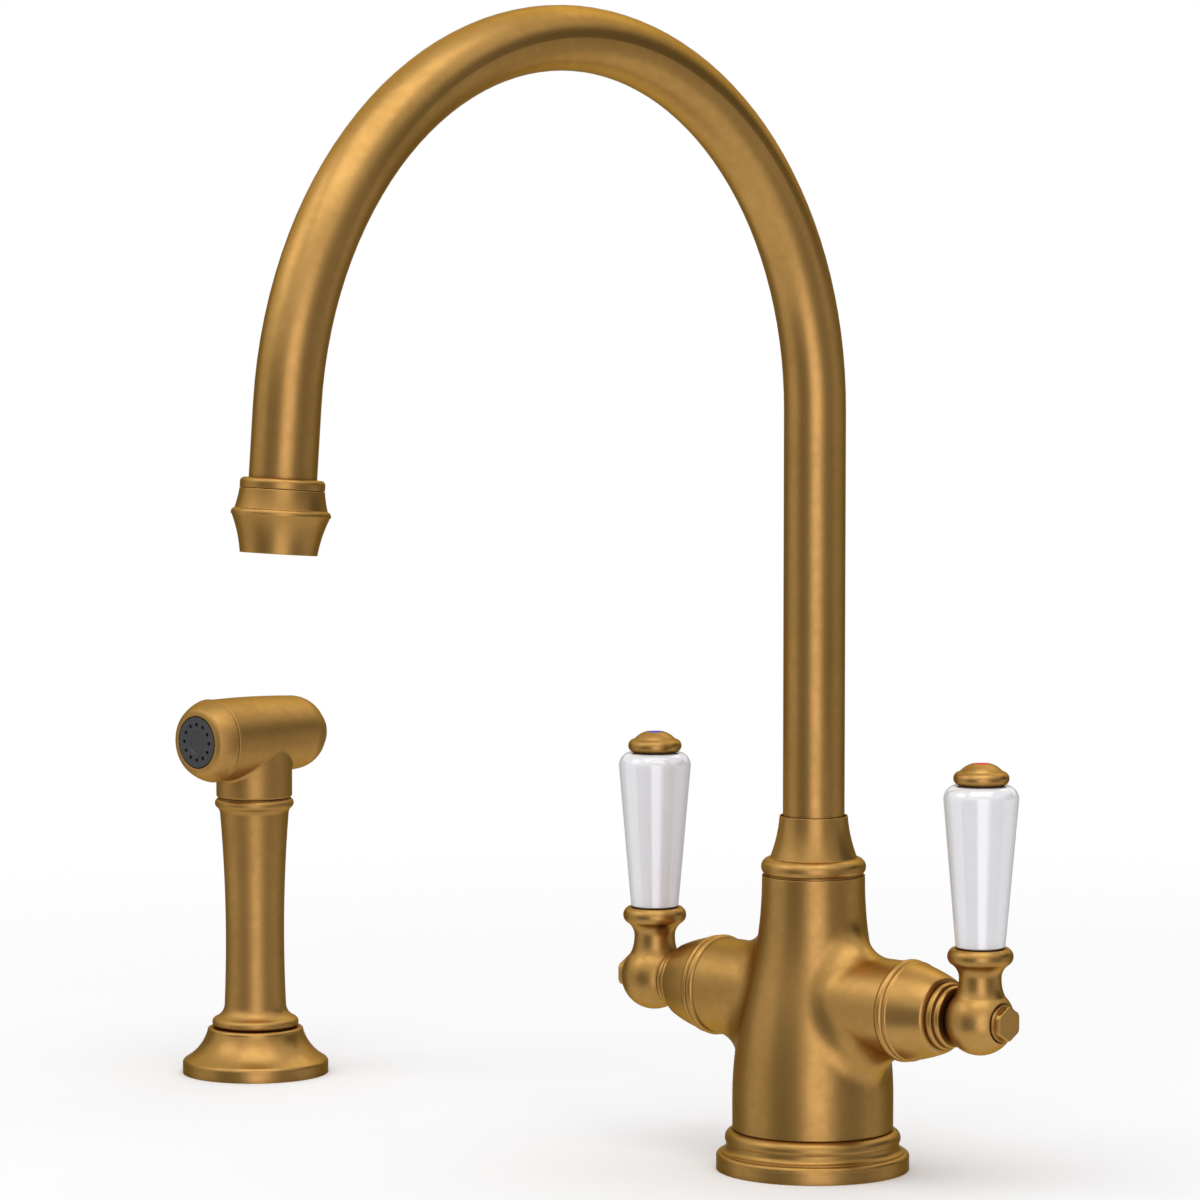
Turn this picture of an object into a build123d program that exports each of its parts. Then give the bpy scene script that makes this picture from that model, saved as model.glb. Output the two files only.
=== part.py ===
from build123d import *
from math import cos, radians, sin, sqrt
import os

# Two-lever kitchen mixer tap with a swan-neck spout and a side rinse spray, in millimetres.
# The origin is on the worktop at the column's axis and +Z is up. The spout reaches towards -Y,
# the hot lever is on +X, and the cold lever is on -X with the rinse spray beyond it.

# Fits, each side
fit = 0.05            # between pieces fixed in one another
running = 0.06        # between pieces that turn or slide in one another
thrust_gap = 0.1      # end play of pieces that turn
joint_line = 0.35     # shadow line where two visible pieces meet

# Base flange: heights of its mouldings from the worktop up, and how far each steps out
base_rim_height = 3.9
base_shoulder_height = 1.8
base_cove_height = 2.25
base_band_height = 0.9
base_bead_height = 4.15
base_rim_step = 1.2
base_cove_step = 2.0
base_band_step = 2.03
base_bead_step = 0.3
base_shoulder_swell = 0.5
base_cove_depth = 0.4
base_bead_swell = 1.15
deck_seal_height = 2.0
deck_seal_width = 4.0
deck_seal_inset = 1.6

# Tap body: a bell on a spigot, with a side arm for each valve
body_radius = 26.17
body_spigot_step = 3.1
body_height = 83.2
bell_start = 17.0         # above the base flange, where the side begins to draw in
bell_lead = 0.12          # drawn in by there
bell_turn = 41.0          # above the base flange, where the side stops curving in
neck_radius = 16.7
arm_rise = 43.07          # arm axis above the base flange
arm_radius = 15.7
arm_reach = 38.8
arm_fillet = 13.0

# Threaded holes and water ways in the body
stud_hole_radius = 3.4
stud_hole_depth = 16.0
tail_hole_radius = 4.5
tail_hole_depth = 14.0
tail_spacing = 25.0       # between the two inlets
spray_tail_offset = 12.0  # of the spray's outlet, towards the user
water_way = 2.6
mixed_way = 2.0

# Spout
tube_radius = 10.0
tube_wall = 1.5
column_rise = 150.5       # straight tube above the body
bend_radius = 118.0
bend_sweep = 175.0
tail_length = 21.45       # straight tube between the bend and the nozzle
tube_insert = 6.0         # tube inside its spigot and inside the nozzle

# Spout socket in the body, from the body's top down
collar_thread_radius = 14.0
collar_thread_length = 9.2
bush_height = 3.0
socket_radius = 13.0
socket_depth = 22.0       # below the bush
spigot_length = 18.0
ring_section = 2.0        # O-ring thickness
ring_side_play = 0.15
ring_spacing = 6.0
ring_inset = 4.0          # of the lower O-ring from the spigot's foot

# Spout collar: a bead and a cone above the body
collar_height = 19.4
collar_bead_height = 5.15
collar_bead_swell = 1.6
collar_bead_step = 1.45
collar_cone_step = 0.5
collar_top_wall = 1.05
collar_joint = 0.6        # shadow line between the bead and the body
collar_flare = 0.53
collar_mouth_gap = 0.6
collar_mouth_depth = 1.2

# Outlet nozzle, from its top along the flow
nozzle_top_wall = 2.45
nozzle_top_round = 1.4
nozzle_collar_length = 3.1
nozzle_flare_length = 5.9
nozzle_flare_step = 1.15
nozzle_flare_hollow = 0.12
nozzle_ring_length = 1.4
nozzle_ring_step = 1.0
nozzle_ring_swell = 0.3
nozzle_ring_edge = 0.5
nozzle_taper_length = 11.05
nozzle_mouth_wall = 1.33
nozzle_taper_hollow = 0.42
nozzle_ledge = 1.5        # thickness of the ledge below the tube
aerator_washer_height = 1.5
aerator_inset = 0.7
aerator_wall = 1.2
aerator_grid_height = 2.5
aerator_hole_radius = 0.75
aerator_hole_pitch = 2.2
aerator_hole_rows = 9

# Bonnet on each arm, from the arm's end out
bonnet_ring_width = 3.0
bonnet_ring_swell = 0.85
bonnet_line_ring_width = 1.8
bonnet_line_ring_swell = 0.45
bonnet_cone_length = 11.8
bonnet_cone_swell = 0.25
bonnet_step_length = 2.5
bonnet_step_drop = 1.6
bonnet_end_length = 2.3
bonnet_end_drop = 0.9
bonnet_end_inset = 1.58   # how much smaller the bonnet's end is than the lever's ball
bonnet_end_swell = 0.4
bonnet_edge = 0.8
bonnet_spigot_radius = 12.6
bonnet_mouth_wall = 3.0

# Ceramic disc valve in each arm
pocket_depth = 22.0
pocket_radius = 11.0
bonnet_counterbore = 8.0
valve_shoulder = 1.8
valve_nose_radius = 9.0
valve_nose_length = 13.0
disc_radius = 8.5
disc_thickness = 3.0
disc_port_radius = 2.2
disc_port_offset = 4.6
seat_seal_height = 2.2
seat_seal_radius = 8.3
seat_seal_wall = 2.6
spindle_radius = 5.0
spindle_foot = 2.7
spindle_square = 6.8
spindle_ring_section = 1.4
window_width = 4.0

# Lever: hub, retaining screw, rod, glazed grip, finial and index disc
ball_radius = 11.08
ball_gap = 3.62           # from the bonnet's end to the ball, along the arm
hub_boss_radius = 6.0
hub_boss_overlap = 2.8    # boss inside the bonnet's mouth
hub_crease_rise = 7.6     # where the neck stands on the ball
hub_neck_radius = 6.78
hub_neck_rise = 12.93
hub_flare_rise = 17.9
hub_flare_radius = 9.0
hub_flare_hollow = 0.75
hub_bead_swell = 1.5
hub_rise = 23.1           # hub's top above the arm axis
square_depth = 8.0        # spindle inside the hub, short of the lever's axis
screw_recess_radius = 6.35
screw_recess_floor = 8.3  # beyond the lever's axis
screw_collar_gap = 0.36   # around the screw's collar in its recess
screw_collar_height = 1.8
screw_head_flats = 10.0
screw_head_height = 3.8
screw_head_round = 0.45
screw_head_turned = 5.45  # radius that the hexagon's corners are turned down to
screw_radius = 2.1
screw_grip = 10.0         # thread inside the spindle
screw_hole_play = 0.5
rod_radius = 2.5
rod_hub_depth = 12.0
rod_finial_depth = 4.0
grip_gap = 0.35           # washers keep the grip off the metal
grip_foot_radius = 7.93
grip_shoulder_radius = 11.92
grip_taper_length = 46.4
grip_shoulder_height = 4.9
grip_top_radius = 9.0
grip_shoulder_swell = 1.0
grip_bore_play = 0.7
washer_width = 3.6
washer_recess = 0.6
finial_foot_radius = 7.7
finial_ring_height = 4.2
finial_ring_swell = 1.6
finial_ring_draw = 0.9    # the ring's top is this much narrower than its foot
finial_dome_height = 2.4
finial_dome_swell = 0.33
index_radius = 2.65
index_rim = 0.45
index_depth = 0.9

# Automatic diverter under the spout socket, from the socket's floor down
diverter_depth = 22.0
diverter_radius = 8.0
diverter_cap_height = 3.0
diverter_floor = 3.0
diverter_port_radius = 2.5
plunger_radius = 5.0
plunger_length = 8.0
plunger_neck_radius = 2.2
plunger_skirt = 3.0
diverter_wire = 0.8
diverter_turns = 4

# Rinse spray: place on the worktop and deck flange
spray_x = -268.4
spray_y = 5.9
spray_base_rim = 3.2
spray_base_step = 0.9
spray_base_shoulder = 2.0
spray_base_swell = 0.35
spray_cove_height = 10.0
spray_cove_reach = 8.0
spray_cove_depth = 1.25
spray_lip_height = 1.3
spray_lip_reach = 1.0
spray_lip_wall = 4.15
bush_wall = 2.4
bush_inset = 0.3
bush_foot_gap = 3.0

# Spray handset: stem
stem_spigot_radius = 9.5
stem_spigot_length = 11.5
stem_seat_gap = 0.05
stem_bead_height = 3.5
stem_bead_step = 4.75      # bead's foot beyond the spigot
stem_bead_swell = 1.2
stem_ogee_height = 4.7
stem_ogee_depth = 0.85
stem_foot_radius = 11.0
stem_waist_radius = 10.46
stem_waist_rise = 30.0
stem_length = 82.6        # from its seat on the flange to the head
stem_top_bead_height = 3.1
stem_top_bead_swell = 0.82
stem_cove_height = 2.4    # under the top bead
stem_cove_step = 1.05
stem_cove_depth = 0.28
stem_top_radius = 12.25
stem_neck_step = 1.0
stem_bore_radius = 6.5
connector_radius = 8.3
connector_length = 14.0
hose_hole_radius = 6.95
hose_hole_depth = 10.0
connector_bore = 4.0
connector_ring_section = 1.2
connector_ring_drop = 2.2

# Spray handset: head, along its barrel from the jets (negative) to the button
head_neck_radius = 13.55
head_neck_round = 1.2     # of the neck's lower edge
head_rise = 21.9          # barrel axis above the stem
head_fillet = 1.5         # where the neck meets the barrel
barrel_radius = 14.5      # at the front ring
barrel_taper = 1.22
barrel_swell = 0.43
barrel_front = 20.4
barrel_back = 25.2
barrel_back_round = 7.2
barrel_back_radius = 10.9
barrel_back_swell = 0.61
front_ring_radius = 14.8
front_ring_length = 6.2
front_ring_drop = 2.5
front_ring_swell = 0.28
front_ring_round = 1.4
front_ring_round_swell = 0.32
front_ring_groove = 0.5   # wide, behind the ring
front_ring_groove_depth = 0.75
front_ring_edge = 0.25    # chamfer of the ring's back edge
front_ring_rim = 1.0      # flat rim around the spray face
front_thread_radius = 11.2
face_radius = 9.0
face_gap = 0.42           # shadow line around the face
face_gap_depth = 0.8
face_boss = 1.6
face_flange = 1.5
face_flange_radius = 10.9
face_dish_radius = 4.3
face_dish_depth = 0.5
jet_count = 12
jet_circle_radius = 6.3
jet_radius = 0.68
gasket_height = 0.9
gasket_width = 1.7
front_chamber_radius = 9.5
valve_seat_front = 9.0
valve_seat_wall = 3.0
valve_seat_hole = 4.0
middle_chamber_radius = 6.5
guide_start = 8.0
guide_end = 14.0
valve_rod_radius = 3.0
valve_rod_neck = 2.0
valve_disc_radius = 6.5
valve_disc_height = 2.4
valve_seal_wall = 1.9
valve_seal_height = 0.6
button_radius = 8.0
button_length = 9.0
button_dome = 1.8
button_proud = 3.4        # rim of the button beyond the barrel
button_web = 2.0
button_wall = 1.6
button_thread_radius = 2.2
button_wire = 0.7
button_spring_turns = 5

# Heights and places that follow
base_height = (base_rim_height + base_shoulder_height + base_cove_height
               + base_band_height + base_bead_height)
body_spigot_radius = body_radius - body_spigot_step
body_top = base_height + body_height
arm_height = base_height + arm_rise
bend_height = body_top + column_rise
bush_top = body_top - collar_thread_length
bush_foot = bush_top - bush_height
socket_floor = bush_foot - socket_depth
spigot_top = bush_foot - thrust_gap
spigot_foot = spigot_top - spigot_length
tube_foot = spigot_top - tube_insert
tube_bore = tube_radius - tube_wall
bend_angle = radians(bend_sweep)
bend_end_y = -bend_radius + bend_radius * cos(bend_angle)
bend_end_z = bend_height + bend_radius * sin(bend_angle)
flow = (0, -sin(bend_angle), cos(bend_angle))
nozzle_y = bend_end_y + tail_length * flow[1]
nozzle_z = bend_end_z + tail_length * flow[2]
pocket_floor = arm_reach - pocket_depth
counterbore_floor = arm_reach - bonnet_counterbore
bonnet_cone_start = arm_reach + bonnet_ring_width + bonnet_line_ring_width
bonnet_cone_end = bonnet_cone_start + bonnet_cone_length
bonnet_end = bonnet_cone_end + bonnet_step_length + bonnet_end_length
bonnet_end_radius = ball_radius - bonnet_end_inset
bonnet_step_radius = bonnet_end_radius + bonnet_end_drop
bonnet_cone_radius = bonnet_step_radius + bonnet_step_drop
bonnet_mouth_radius = bonnet_end_radius - bonnet_mouth_wall
lever_offset = bonnet_end + ball_gap + sqrt(ball_radius**2 - bonnet_end_radius**2)
hub_top = arm_height + hub_rise
grip_foot = hub_top + grip_gap
grip_top = grip_foot + grip_taper_length + grip_shoulder_height
finial_foot = grip_top + grip_gap
finial_top = finial_foot + finial_ring_height + finial_dome_height
spray_seat = (spray_base_rim + spray_base_shoulder + spray_cove_height + spray_lip_height)
bush_radius = stem_spigot_radius + running + bush_wall
spray_lip_radius = bush_radius + fit + spray_lip_wall
spray_base_radius = spray_lip_radius + spray_lip_reach + spray_cove_reach + spray_base_step
stem_foot = spray_seat + stem_seat_gap
stem_top = stem_foot + stem_length
head_height = stem_top + head_rise
face_front = barrel_front + front_ring_length + front_ring_round
pieces = {}


def upright(x, y, z=0.0):
    """Plane for an outline turned about a vertical axis: local x is the radius, local y the height."""
    return Plane(origin=(x, y, z), x_dir=(0, 1, 0), z_dir=(1, 0, 0))


def vertical(x, y):
    """Vertical axis through a point of the worktop."""
    return Axis((x, y, 0), (0, 0, 1))


def along_arm(side):
    """Plane for an outline turned about an arm: local x runs out along the arm, local y is the radius."""
    return Plane(origin=(0, 0, arm_height), x_dir=(side, 0, 0), z_dir=(0, -side, 0))


def across_arm(side, reach):
    """Plane square to an arm at a distance from the column, facing out: local y is up."""
    return Plane(origin=(side * reach, 0, arm_height), x_dir=(0, side, 0), z_dir=(side, 0, 0))


def across_head(reach):
    """Plane square to the spray's barrel at a distance behind the stem, facing the button."""
    return Plane(origin=(spray_x, spray_y + reach, head_height), x_dir=(-1, 0, 0), z_dir=(0, 1, 0))


def ring(plane, axis, inner, outer, low, high):
    """Turned ring of rectangular section between two radii and two stations."""
    with BuildPart() as turned:
        with BuildSketch(plane):
            with BuildLine():
                Polyline((inner, low), (outer, low), (outer, high), (inner, high), close=True)
            make_face()
        revolve(axis=axis)
    return turned


def o_ring(plane, axis, radius, section, stations):
    """O-rings of one size at the given stations along an axis."""
    with BuildPart() as rings:
        with BuildSketch(plane):
            with Locations(*[(radius, station) for station in stations]):
                Circle(section / 2)
        revolve(axis=axis)
    return rings


def coil(plane, mean_radius, wire, length, turns):
    """Open coil spring of round wire standing on a plane, inside the given length."""
    rise = length - wire
    foot = plane.offset(wire / 2)
    path = Helix(rise / turns, rise, mean_radius, center=foot.origin, direction=foot.z_dir)
    with BuildPart() as spring:
        with BuildSketch(Plane(origin=path @ 0, z_dir=path % 0)):
            Circle(wire / 2)
        sweep(path=path, is_frenet=True)
    return spring


def keep(piece, name):
    """Label a finished piece and hold it for writing."""
    piece.part.label = name
    pieces[name] = piece.part


column = upright(0, 0)
column_axis = vertical(0, 0)
arm_axis = Axis((0, 0, arm_height), (1, 0, 0))

# Base flange, a ring of mouldings with a groove for its seal
shoulder_z = base_rim_height + base_shoulder_height
cove_z = shoulder_z + base_cove_height
band_z = cove_z + base_band_height
band_radius = body_radius + base_band_step
shoulder_radius = band_radius + base_cove_step
base_radius = shoulder_radius + base_rim_step
base_bore = body_spigot_radius + fit
deck_seal_outer = base_radius - deck_seal_inset
deck_seal_inner = deck_seal_outer - deck_seal_width
with BuildPart() as base_flange:
    with BuildSketch(column):
        with BuildLine():
            Polyline(
                (base_bore, 0),
                (deck_seal_inner, 0),
                (deck_seal_inner, deck_seal_height),
                (deck_seal_outer, deck_seal_height),
                (deck_seal_outer, 0),
                (base_radius, 0),
                (base_radius, base_rim_height),
            )
            SagittaArc((base_radius, base_rim_height), (shoulder_radius, shoulder_z), -base_shoulder_swell)
            Polyline(
                (shoulder_radius, shoulder_z),
                (shoulder_radius - joint_line, shoulder_z),
                (shoulder_radius - joint_line, shoulder_z + joint_line),
            )
            SagittaArc(
                (shoulder_radius - joint_line, shoulder_z + joint_line),
                (band_radius, cove_z),
                base_cove_depth,
            )
            Line((band_radius, cove_z), (band_radius, band_z))
            SagittaArc((band_radius, band_z), (body_radius + base_bead_step, base_height), -base_bead_swell)
            Polyline((body_radius + base_bead_step, base_height), (base_bore, base_height), (base_bore, 0))
        make_face()
    revolve(axis=column_axis)
keep(base_flange, "base_flange")
keep(ring(column, column_axis, deck_seal_inner + fit, deck_seal_outer - fit, 0, deck_seal_height),
     "base_seal")

# Tap body: bell, arms, and the bores for the spout, the valves, the diverter and the tails
bell_z = base_height + bell_start
turn_z = base_height + bell_turn
turn_share = (turn_z - bell_z) / (body_top - bell_z)
turn_radius = body_radius + (neck_radius - body_radius) * turn_share
collar_bore = collar_thread_radius + fit
counterbore_radius = bonnet_spigot_radius + fit
diverter_foot = socket_floor - diverter_depth
tail_offset = tail_spacing / 2
mixed_way_height = arm_height + pocket_radius - mixed_way - running
cross_way_height = diverter_foot - 2 * water_way
with BuildPart() as mixer_body:
    with BuildSketch(column):
        with BuildLine():
            Polyline(
                (0, 0),
                (body_spigot_radius, 0),
                (body_spigot_radius, base_height),
                (body_radius - joint_line, base_height),
                (body_radius - joint_line, base_height + joint_line),
                (body_radius, base_height + joint_line),
            )
            Spline(
                (body_radius, base_height + joint_line),
                (body_radius - bell_lead, bell_z),
                (turn_radius, turn_z),
                (neck_radius, body_top),
                tangents=((0, 1), (0, 1)),
            )
            Polyline((neck_radius, body_top), (0, body_top), (0, 0))
        make_face()
    revolve(axis=column_axis)
    with BuildSketch(Plane.YZ):
        with Locations((0, arm_height)):
            Circle(arm_radius)
    extrude(amount=arm_reach, both=True)
    arm_roots = mixer_body.edges().filter_by(GeomType.LINE, reverse=True).filter_by(
        lambda edge: abs(edge.center().Z - arm_height) < arm_radius
        and 0 < abs(edge.center().X) < arm_reach - fit
    )
    fillet(arm_roots, radius=arm_fillet)
    with BuildSketch(column):
        with BuildLine():
            Polyline(
                (0, diverter_foot),
                (diverter_radius, diverter_foot),
                (diverter_radius, socket_floor),
                (socket_radius, socket_floor),
                (socket_radius, bush_foot),
                (collar_bore, bush_foot),
                (collar_bore, body_top),
                (0, body_top),
                close=True,
            )
        make_face()
    revolve(axis=column_axis, mode=Mode.SUBTRACT)
    for side in (1, -1):
        with BuildSketch(across_arm(side, pocket_floor)):
            Circle(pocket_radius)
        extrude(amount=pocket_depth, mode=Mode.SUBTRACT)
        with BuildSketch(across_arm(side, counterbore_floor)):
            Circle(counterbore_radius)
        extrude(amount=bonnet_counterbore, mode=Mode.SUBTRACT)
        with BuildSketch(across_arm(side, tail_offset)):
            Circle(water_way)
        extrude(amount=pocket_floor - tail_offset, mode=Mode.SUBTRACT)
    with BuildSketch(Plane.YZ):
        with Locations((0, mixed_way_height)):
            Circle(mixed_way)
    extrude(amount=pocket_floor, both=True, mode=Mode.SUBTRACT)
    with BuildSketch(Plane.XY):
        Circle(stud_hole_radius)
    extrude(amount=stud_hole_depth, mode=Mode.SUBTRACT)
    with BuildSketch(Plane.XY):
        with Locations((tail_offset, 0), (-tail_offset, 0), (0, -spray_tail_offset)):
            Circle(tail_hole_radius)
    extrude(amount=tail_hole_depth, mode=Mode.SUBTRACT)
    with BuildSketch(Plane.XY):
        with Locations((tail_offset, 0), (-tail_offset, 0)):
            Circle(water_way)
    extrude(amount=arm_height + water_way, mode=Mode.SUBTRACT)
    with BuildSketch(Plane.XY):
        with Locations((0, -spray_tail_offset)):
            Circle(water_way)
    extrude(amount=cross_way_height + water_way, mode=Mode.SUBTRACT)
    with BuildSketch(Plane.XZ):
        with Locations((0, cross_way_height)):
            Circle(water_way)
    extrude(amount=spray_tail_offset, mode=Mode.SUBTRACT)
    with BuildSketch(Plane.XY.offset(cross_way_height)):
        Circle(water_way)
    extrude(amount=diverter_foot - cross_way_height, mode=Mode.SUBTRACT)
keep(mixer_body, "mixer_body")

# Spout collar, screwed into the body's neck over the bush
tube_clear = tube_radius + running
collar_bead_top = body_top + collar_joint + collar_bead_height
collar_top = body_top + collar_height
collar_bead_foot_radius = neck_radius - collar_joint
collar_bead_top_radius = collar_bead_foot_radius - collar_bead_step
collar_cone_radius = collar_bead_top_radius - collar_cone_step
collar_top_radius = tube_radius + collar_top_wall
collar_mouth = tube_radius + collar_mouth_gap
with BuildPart() as spout_collar:
    with BuildSketch(column):
        with BuildLine():
            Polyline(
                (tube_clear, bush_top),
                (collar_thread_radius, bush_top),
                (collar_thread_radius, body_top),
                (collar_bead_foot_radius, body_top),
                (collar_bead_foot_radius, body_top + collar_joint),
            )
            SagittaArc(
                (collar_bead_foot_radius, body_top + collar_joint),
                (collar_bead_top_radius, collar_bead_top),
                -collar_bead_swell,
            )
            Line((collar_bead_top_radius, collar_bead_top), (collar_cone_radius, collar_bead_top))
            SagittaArc(
                (collar_cone_radius, collar_bead_top),
                (collar_top_radius, collar_top),
                collar_flare,
            )
            Polyline(
                (collar_top_radius, collar_top),
                (collar_mouth, collar_top),
                (collar_mouth, collar_top - collar_mouth_depth),
                (tube_clear, collar_top - collar_mouth_depth),
                (tube_clear, bush_top),
            )
        make_face()
    revolve(axis=column_axis)
keep(spout_collar, "spout_collar")
keep(ring(column, column_axis, tube_clear, collar_thread_radius, bush_foot, bush_top), "spout_bush")

# Spout: swan-neck tube, its spigot with two O-rings, the outlet nozzle and the aerator
with BuildPart() as spout_tube:
    with BuildLine(Plane.YZ) as route:
        Line((0, tube_foot), (0, bend_height))
        CenterArc((-bend_radius, bend_height), bend_radius, 0, bend_sweep)
        Line(
            (bend_end_y, bend_end_z),
            (nozzle_y + tube_insert * flow[1], nozzle_z + tube_insert * flow[2]),
        )
    with BuildSketch(Plane.XY.offset(tube_foot)):
        Circle(tube_radius)
        Circle(tube_bore, mode=Mode.SUBTRACT)
    sweep(path=route.wire())
keep(spout_tube, "spout_tube")

spigot_radius = socket_radius - running
groove_floor = spigot_radius - ring_section - fit
groove_half = ring_section / 2 + ring_side_play
ring_stations = (spigot_foot + ring_inset, spigot_foot + ring_inset + ring_spacing)
with BuildPart() as spout_spigot:
    with BuildSketch(column):
        with BuildLine():
            Polyline(
                (tube_bore, spigot_foot),
                (spigot_radius, spigot_foot),
                (spigot_radius, spigot_top),
                (tube_radius + fit, spigot_top),
                (tube_radius + fit, tube_foot),
                (tube_bore, tube_foot),
                close=True,
            )
        make_face()
        for station in ring_stations:
            with Locations(((groove_floor + spigot_radius) / 2, station)):
                Rectangle(spigot_radius - groove_floor, 2 * groove_half, mode=Mode.SUBTRACT)
    revolve(axis=column_axis)
keep(spout_spigot, "spout_spigot")
ring_radius = spigot_radius - ring_section / 2
keep(o_ring(column, column_axis, ring_radius, ring_section, ring_stations), "spout_o_rings")

outlet = Plane(origin=(0, nozzle_y, nozzle_z), x_dir=(1, 0, 0), z_dir=(0, -flow[2], flow[1]))
outlet_axis = Axis((0, nozzle_y, nozzle_z), flow)
nozzle_radius = tube_radius + nozzle_top_wall
flare_start = nozzle_collar_length
flare_end = flare_start + nozzle_flare_length
ring_end = flare_end + nozzle_ring_length
taper_start = ring_end + nozzle_ring_edge
nozzle_length = taper_start + nozzle_taper_length
flare_radius = nozzle_radius + nozzle_flare_step
nozzle_ring_radius = flare_radius + nozzle_ring_step
taper_radius = nozzle_ring_radius - nozzle_ring_edge / 2
nozzle_mouth_radius = tube_radius + nozzle_mouth_wall
ledge_foot = tube_insert + nozzle_ledge
aerator_radius = tube_radius - fit
aerator_top = ledge_foot + aerator_washer_height
aerator_foot = nozzle_length - aerator_inset
with BuildPart() as outlet_nozzle:
    with BuildSketch(outlet):
        with BuildLine():
            Line((tube_radius + fit, 0), (nozzle_radius - nozzle_top_round, 0))
            RadiusArc(
                (nozzle_radius - nozzle_top_round, 0),
                (nozzle_radius, nozzle_top_round),
                -nozzle_top_round,
            )
            Polyline(
                (nozzle_radius, nozzle_top_round),
                (nozzle_radius, flare_start - joint_line / 2),
                (nozzle_radius - joint_line, flare_start),
                (nozzle_radius, flare_start + joint_line / 2),
            )
            SagittaArc(
                (nozzle_radius, flare_start + joint_line / 2),
                (flare_radius, flare_end),
                nozzle_flare_hollow,
            )
            SagittaArc((flare_radius, flare_end), (nozzle_ring_radius, ring_end), -nozzle_ring_swell)
            SagittaArc(
                (nozzle_ring_radius, ring_end),
                (taper_radius, taper_start),
                -nozzle_ring_edge / 4,
            )
            SagittaArc(
                (taper_radius, taper_start),
                (nozzle_mouth_radius, nozzle_length),
                nozzle_taper_hollow,
            )
            Polyline(
                (nozzle_mouth_radius, nozzle_length),
                (tube_radius, nozzle_length),
                (tube_radius, ledge_foot),
                (tube_bore, ledge_foot),
                (tube_bore, tube_insert),
                (tube_radius + fit, tube_insert),
                (tube_radius + fit, 0),
            )
        make_face()
    revolve(axis=outlet_axis)
keep(outlet_nozzle, "outlet_nozzle")
keep(ring(outlet, outlet_axis, tube_bore, aerator_radius, ledge_foot, aerator_top), "aerator_washer")

aerator_bore = aerator_radius - aerator_wall
grid_plane = Plane(
    origin=(0, nozzle_y + aerator_foot * flow[1], nozzle_z + aerator_foot * flow[2]),
    x_dir=(1, 0, 0),
    z_dir=(0, -flow[1], -flow[2]),
)
with BuildPart() as aerator:
    with BuildSketch(grid_plane):
        Circle(aerator_radius)
    extrude(amount=aerator_foot - aerator_top)
    with BuildSketch(grid_plane.offset(aerator_grid_height)):
        Circle(aerator_bore)
    extrude(amount=aerator_foot - aerator_top - aerator_grid_height, mode=Mode.SUBTRACT)
    with BuildSketch(grid_plane):
        with HexLocations(aerator_hole_pitch / 2, aerator_hole_rows, aerator_hole_rows) as grid:
            spots = [spot for spot in grid.local_locations
                     if spot.position.length < aerator_bore - aerator_hole_radius]
        with Locations(*spots):
            Circle(aerator_hole_radius)
    extrude(amount=aerator_grid_height, mode=Mode.SUBTRACT)
keep(aerator, "aerator")

# Diverter under the spout socket: cap, sleeve, plunger and spring
cap_foot = socket_floor - diverter_cap_height
sleeve_floor = diverter_foot + diverter_floor
plunger_top = cap_foot - thrust_gap
plunger_foot = plunger_top - plunger_length
plunger_web = plunger_foot + plunger_skirt
spring_radius = plunger_radius - diverter_wire
keep(ring(column, column_axis, plunger_neck_radius + water_way / 2, diverter_radius - fit,
          cap_foot, socket_floor), "diverter_cap")
with BuildPart() as diverter_sleeve:
    with BuildSketch(column):
        with BuildLine():
            Polyline(
                (diverter_port_radius, diverter_foot),
                (diverter_radius - fit, diverter_foot),
                (diverter_radius - fit, cap_foot),
                (plunger_radius + running, cap_foot),
                (plunger_radius + running, sleeve_floor),
                (diverter_port_radius, sleeve_floor),
                close=True,
            )
        make_face()
    revolve(axis=column_axis)
keep(diverter_sleeve, "diverter_sleeve")
with BuildPart() as diverter_plunger:
    with BuildSketch(column):
        with BuildLine():
            Polyline(
                (0, plunger_foot),
                (plunger_neck_radius, plunger_foot),
                (plunger_neck_radius, plunger_web),
                (plunger_radius, plunger_web),
                (plunger_radius, plunger_top),
                (0, plunger_top),
                close=True,
            )
        make_face()
    revolve(axis=column_axis)
keep(diverter_plunger, "diverter_plunger")
keep(coil(Plane.XY.offset(sleeve_floor + fit), spring_radius, diverter_wire,
          plunger_web - sleeve_floor - 2 * fit, diverter_turns), "diverter_spring")

# Valves and levers, hot on +X and cold on -X
seal_end = pocket_floor + seat_seal_height
fixed_disc_end = seal_end + fit + disc_thickness
turning_disc_start = fixed_disc_end + fit
turning_disc_end = turning_disc_start + disc_thickness
foot_start = turning_disc_end + fit
foot_end = foot_start + spindle_foot
shoulder_end = counterbore_floor + valve_shoulder
nose_end = shoulder_end + valve_nose_length
cavity_radius = disc_radius + running
spindle_bore = spindle_radius + running
spindle_groove_floor = spindle_radius - spindle_ring_section - fit
spindle_groove_half = spindle_ring_section / 2 + ring_side_play
spindle_ring_station = (foot_end + nose_end) / 2
bonnet_bore = valve_nose_radius + joint_line
square_start = nose_end + thrust_gap
spindle_end = lever_offset - ball_radius + square_depth
boss_start = bonnet_end - hub_boss_overlap
screw_seat = lever_offset + screw_recess_floor
screw_tip = spindle_end - screw_grip
square_play = spindle_square + 2 * fit
rod_foot = hub_top - rod_hub_depth
rod_top = finial_foot + rod_finial_depth
grip_bore = rod_radius + grip_bore_play
grip_shoulder = grip_foot + grip_taper_length
finial_ring_top = finial_foot + finial_ring_height
finial_dome_radius = finial_foot_radius - finial_ring_draw
index_seat = finial_top - index_depth
dome_top_radius = index_radius + index_rim
neck_height = arm_height + hub_neck_rise
flare_height = arm_height + hub_flare_rise
washer_radius = rod_radius + fit + washer_width
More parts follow.
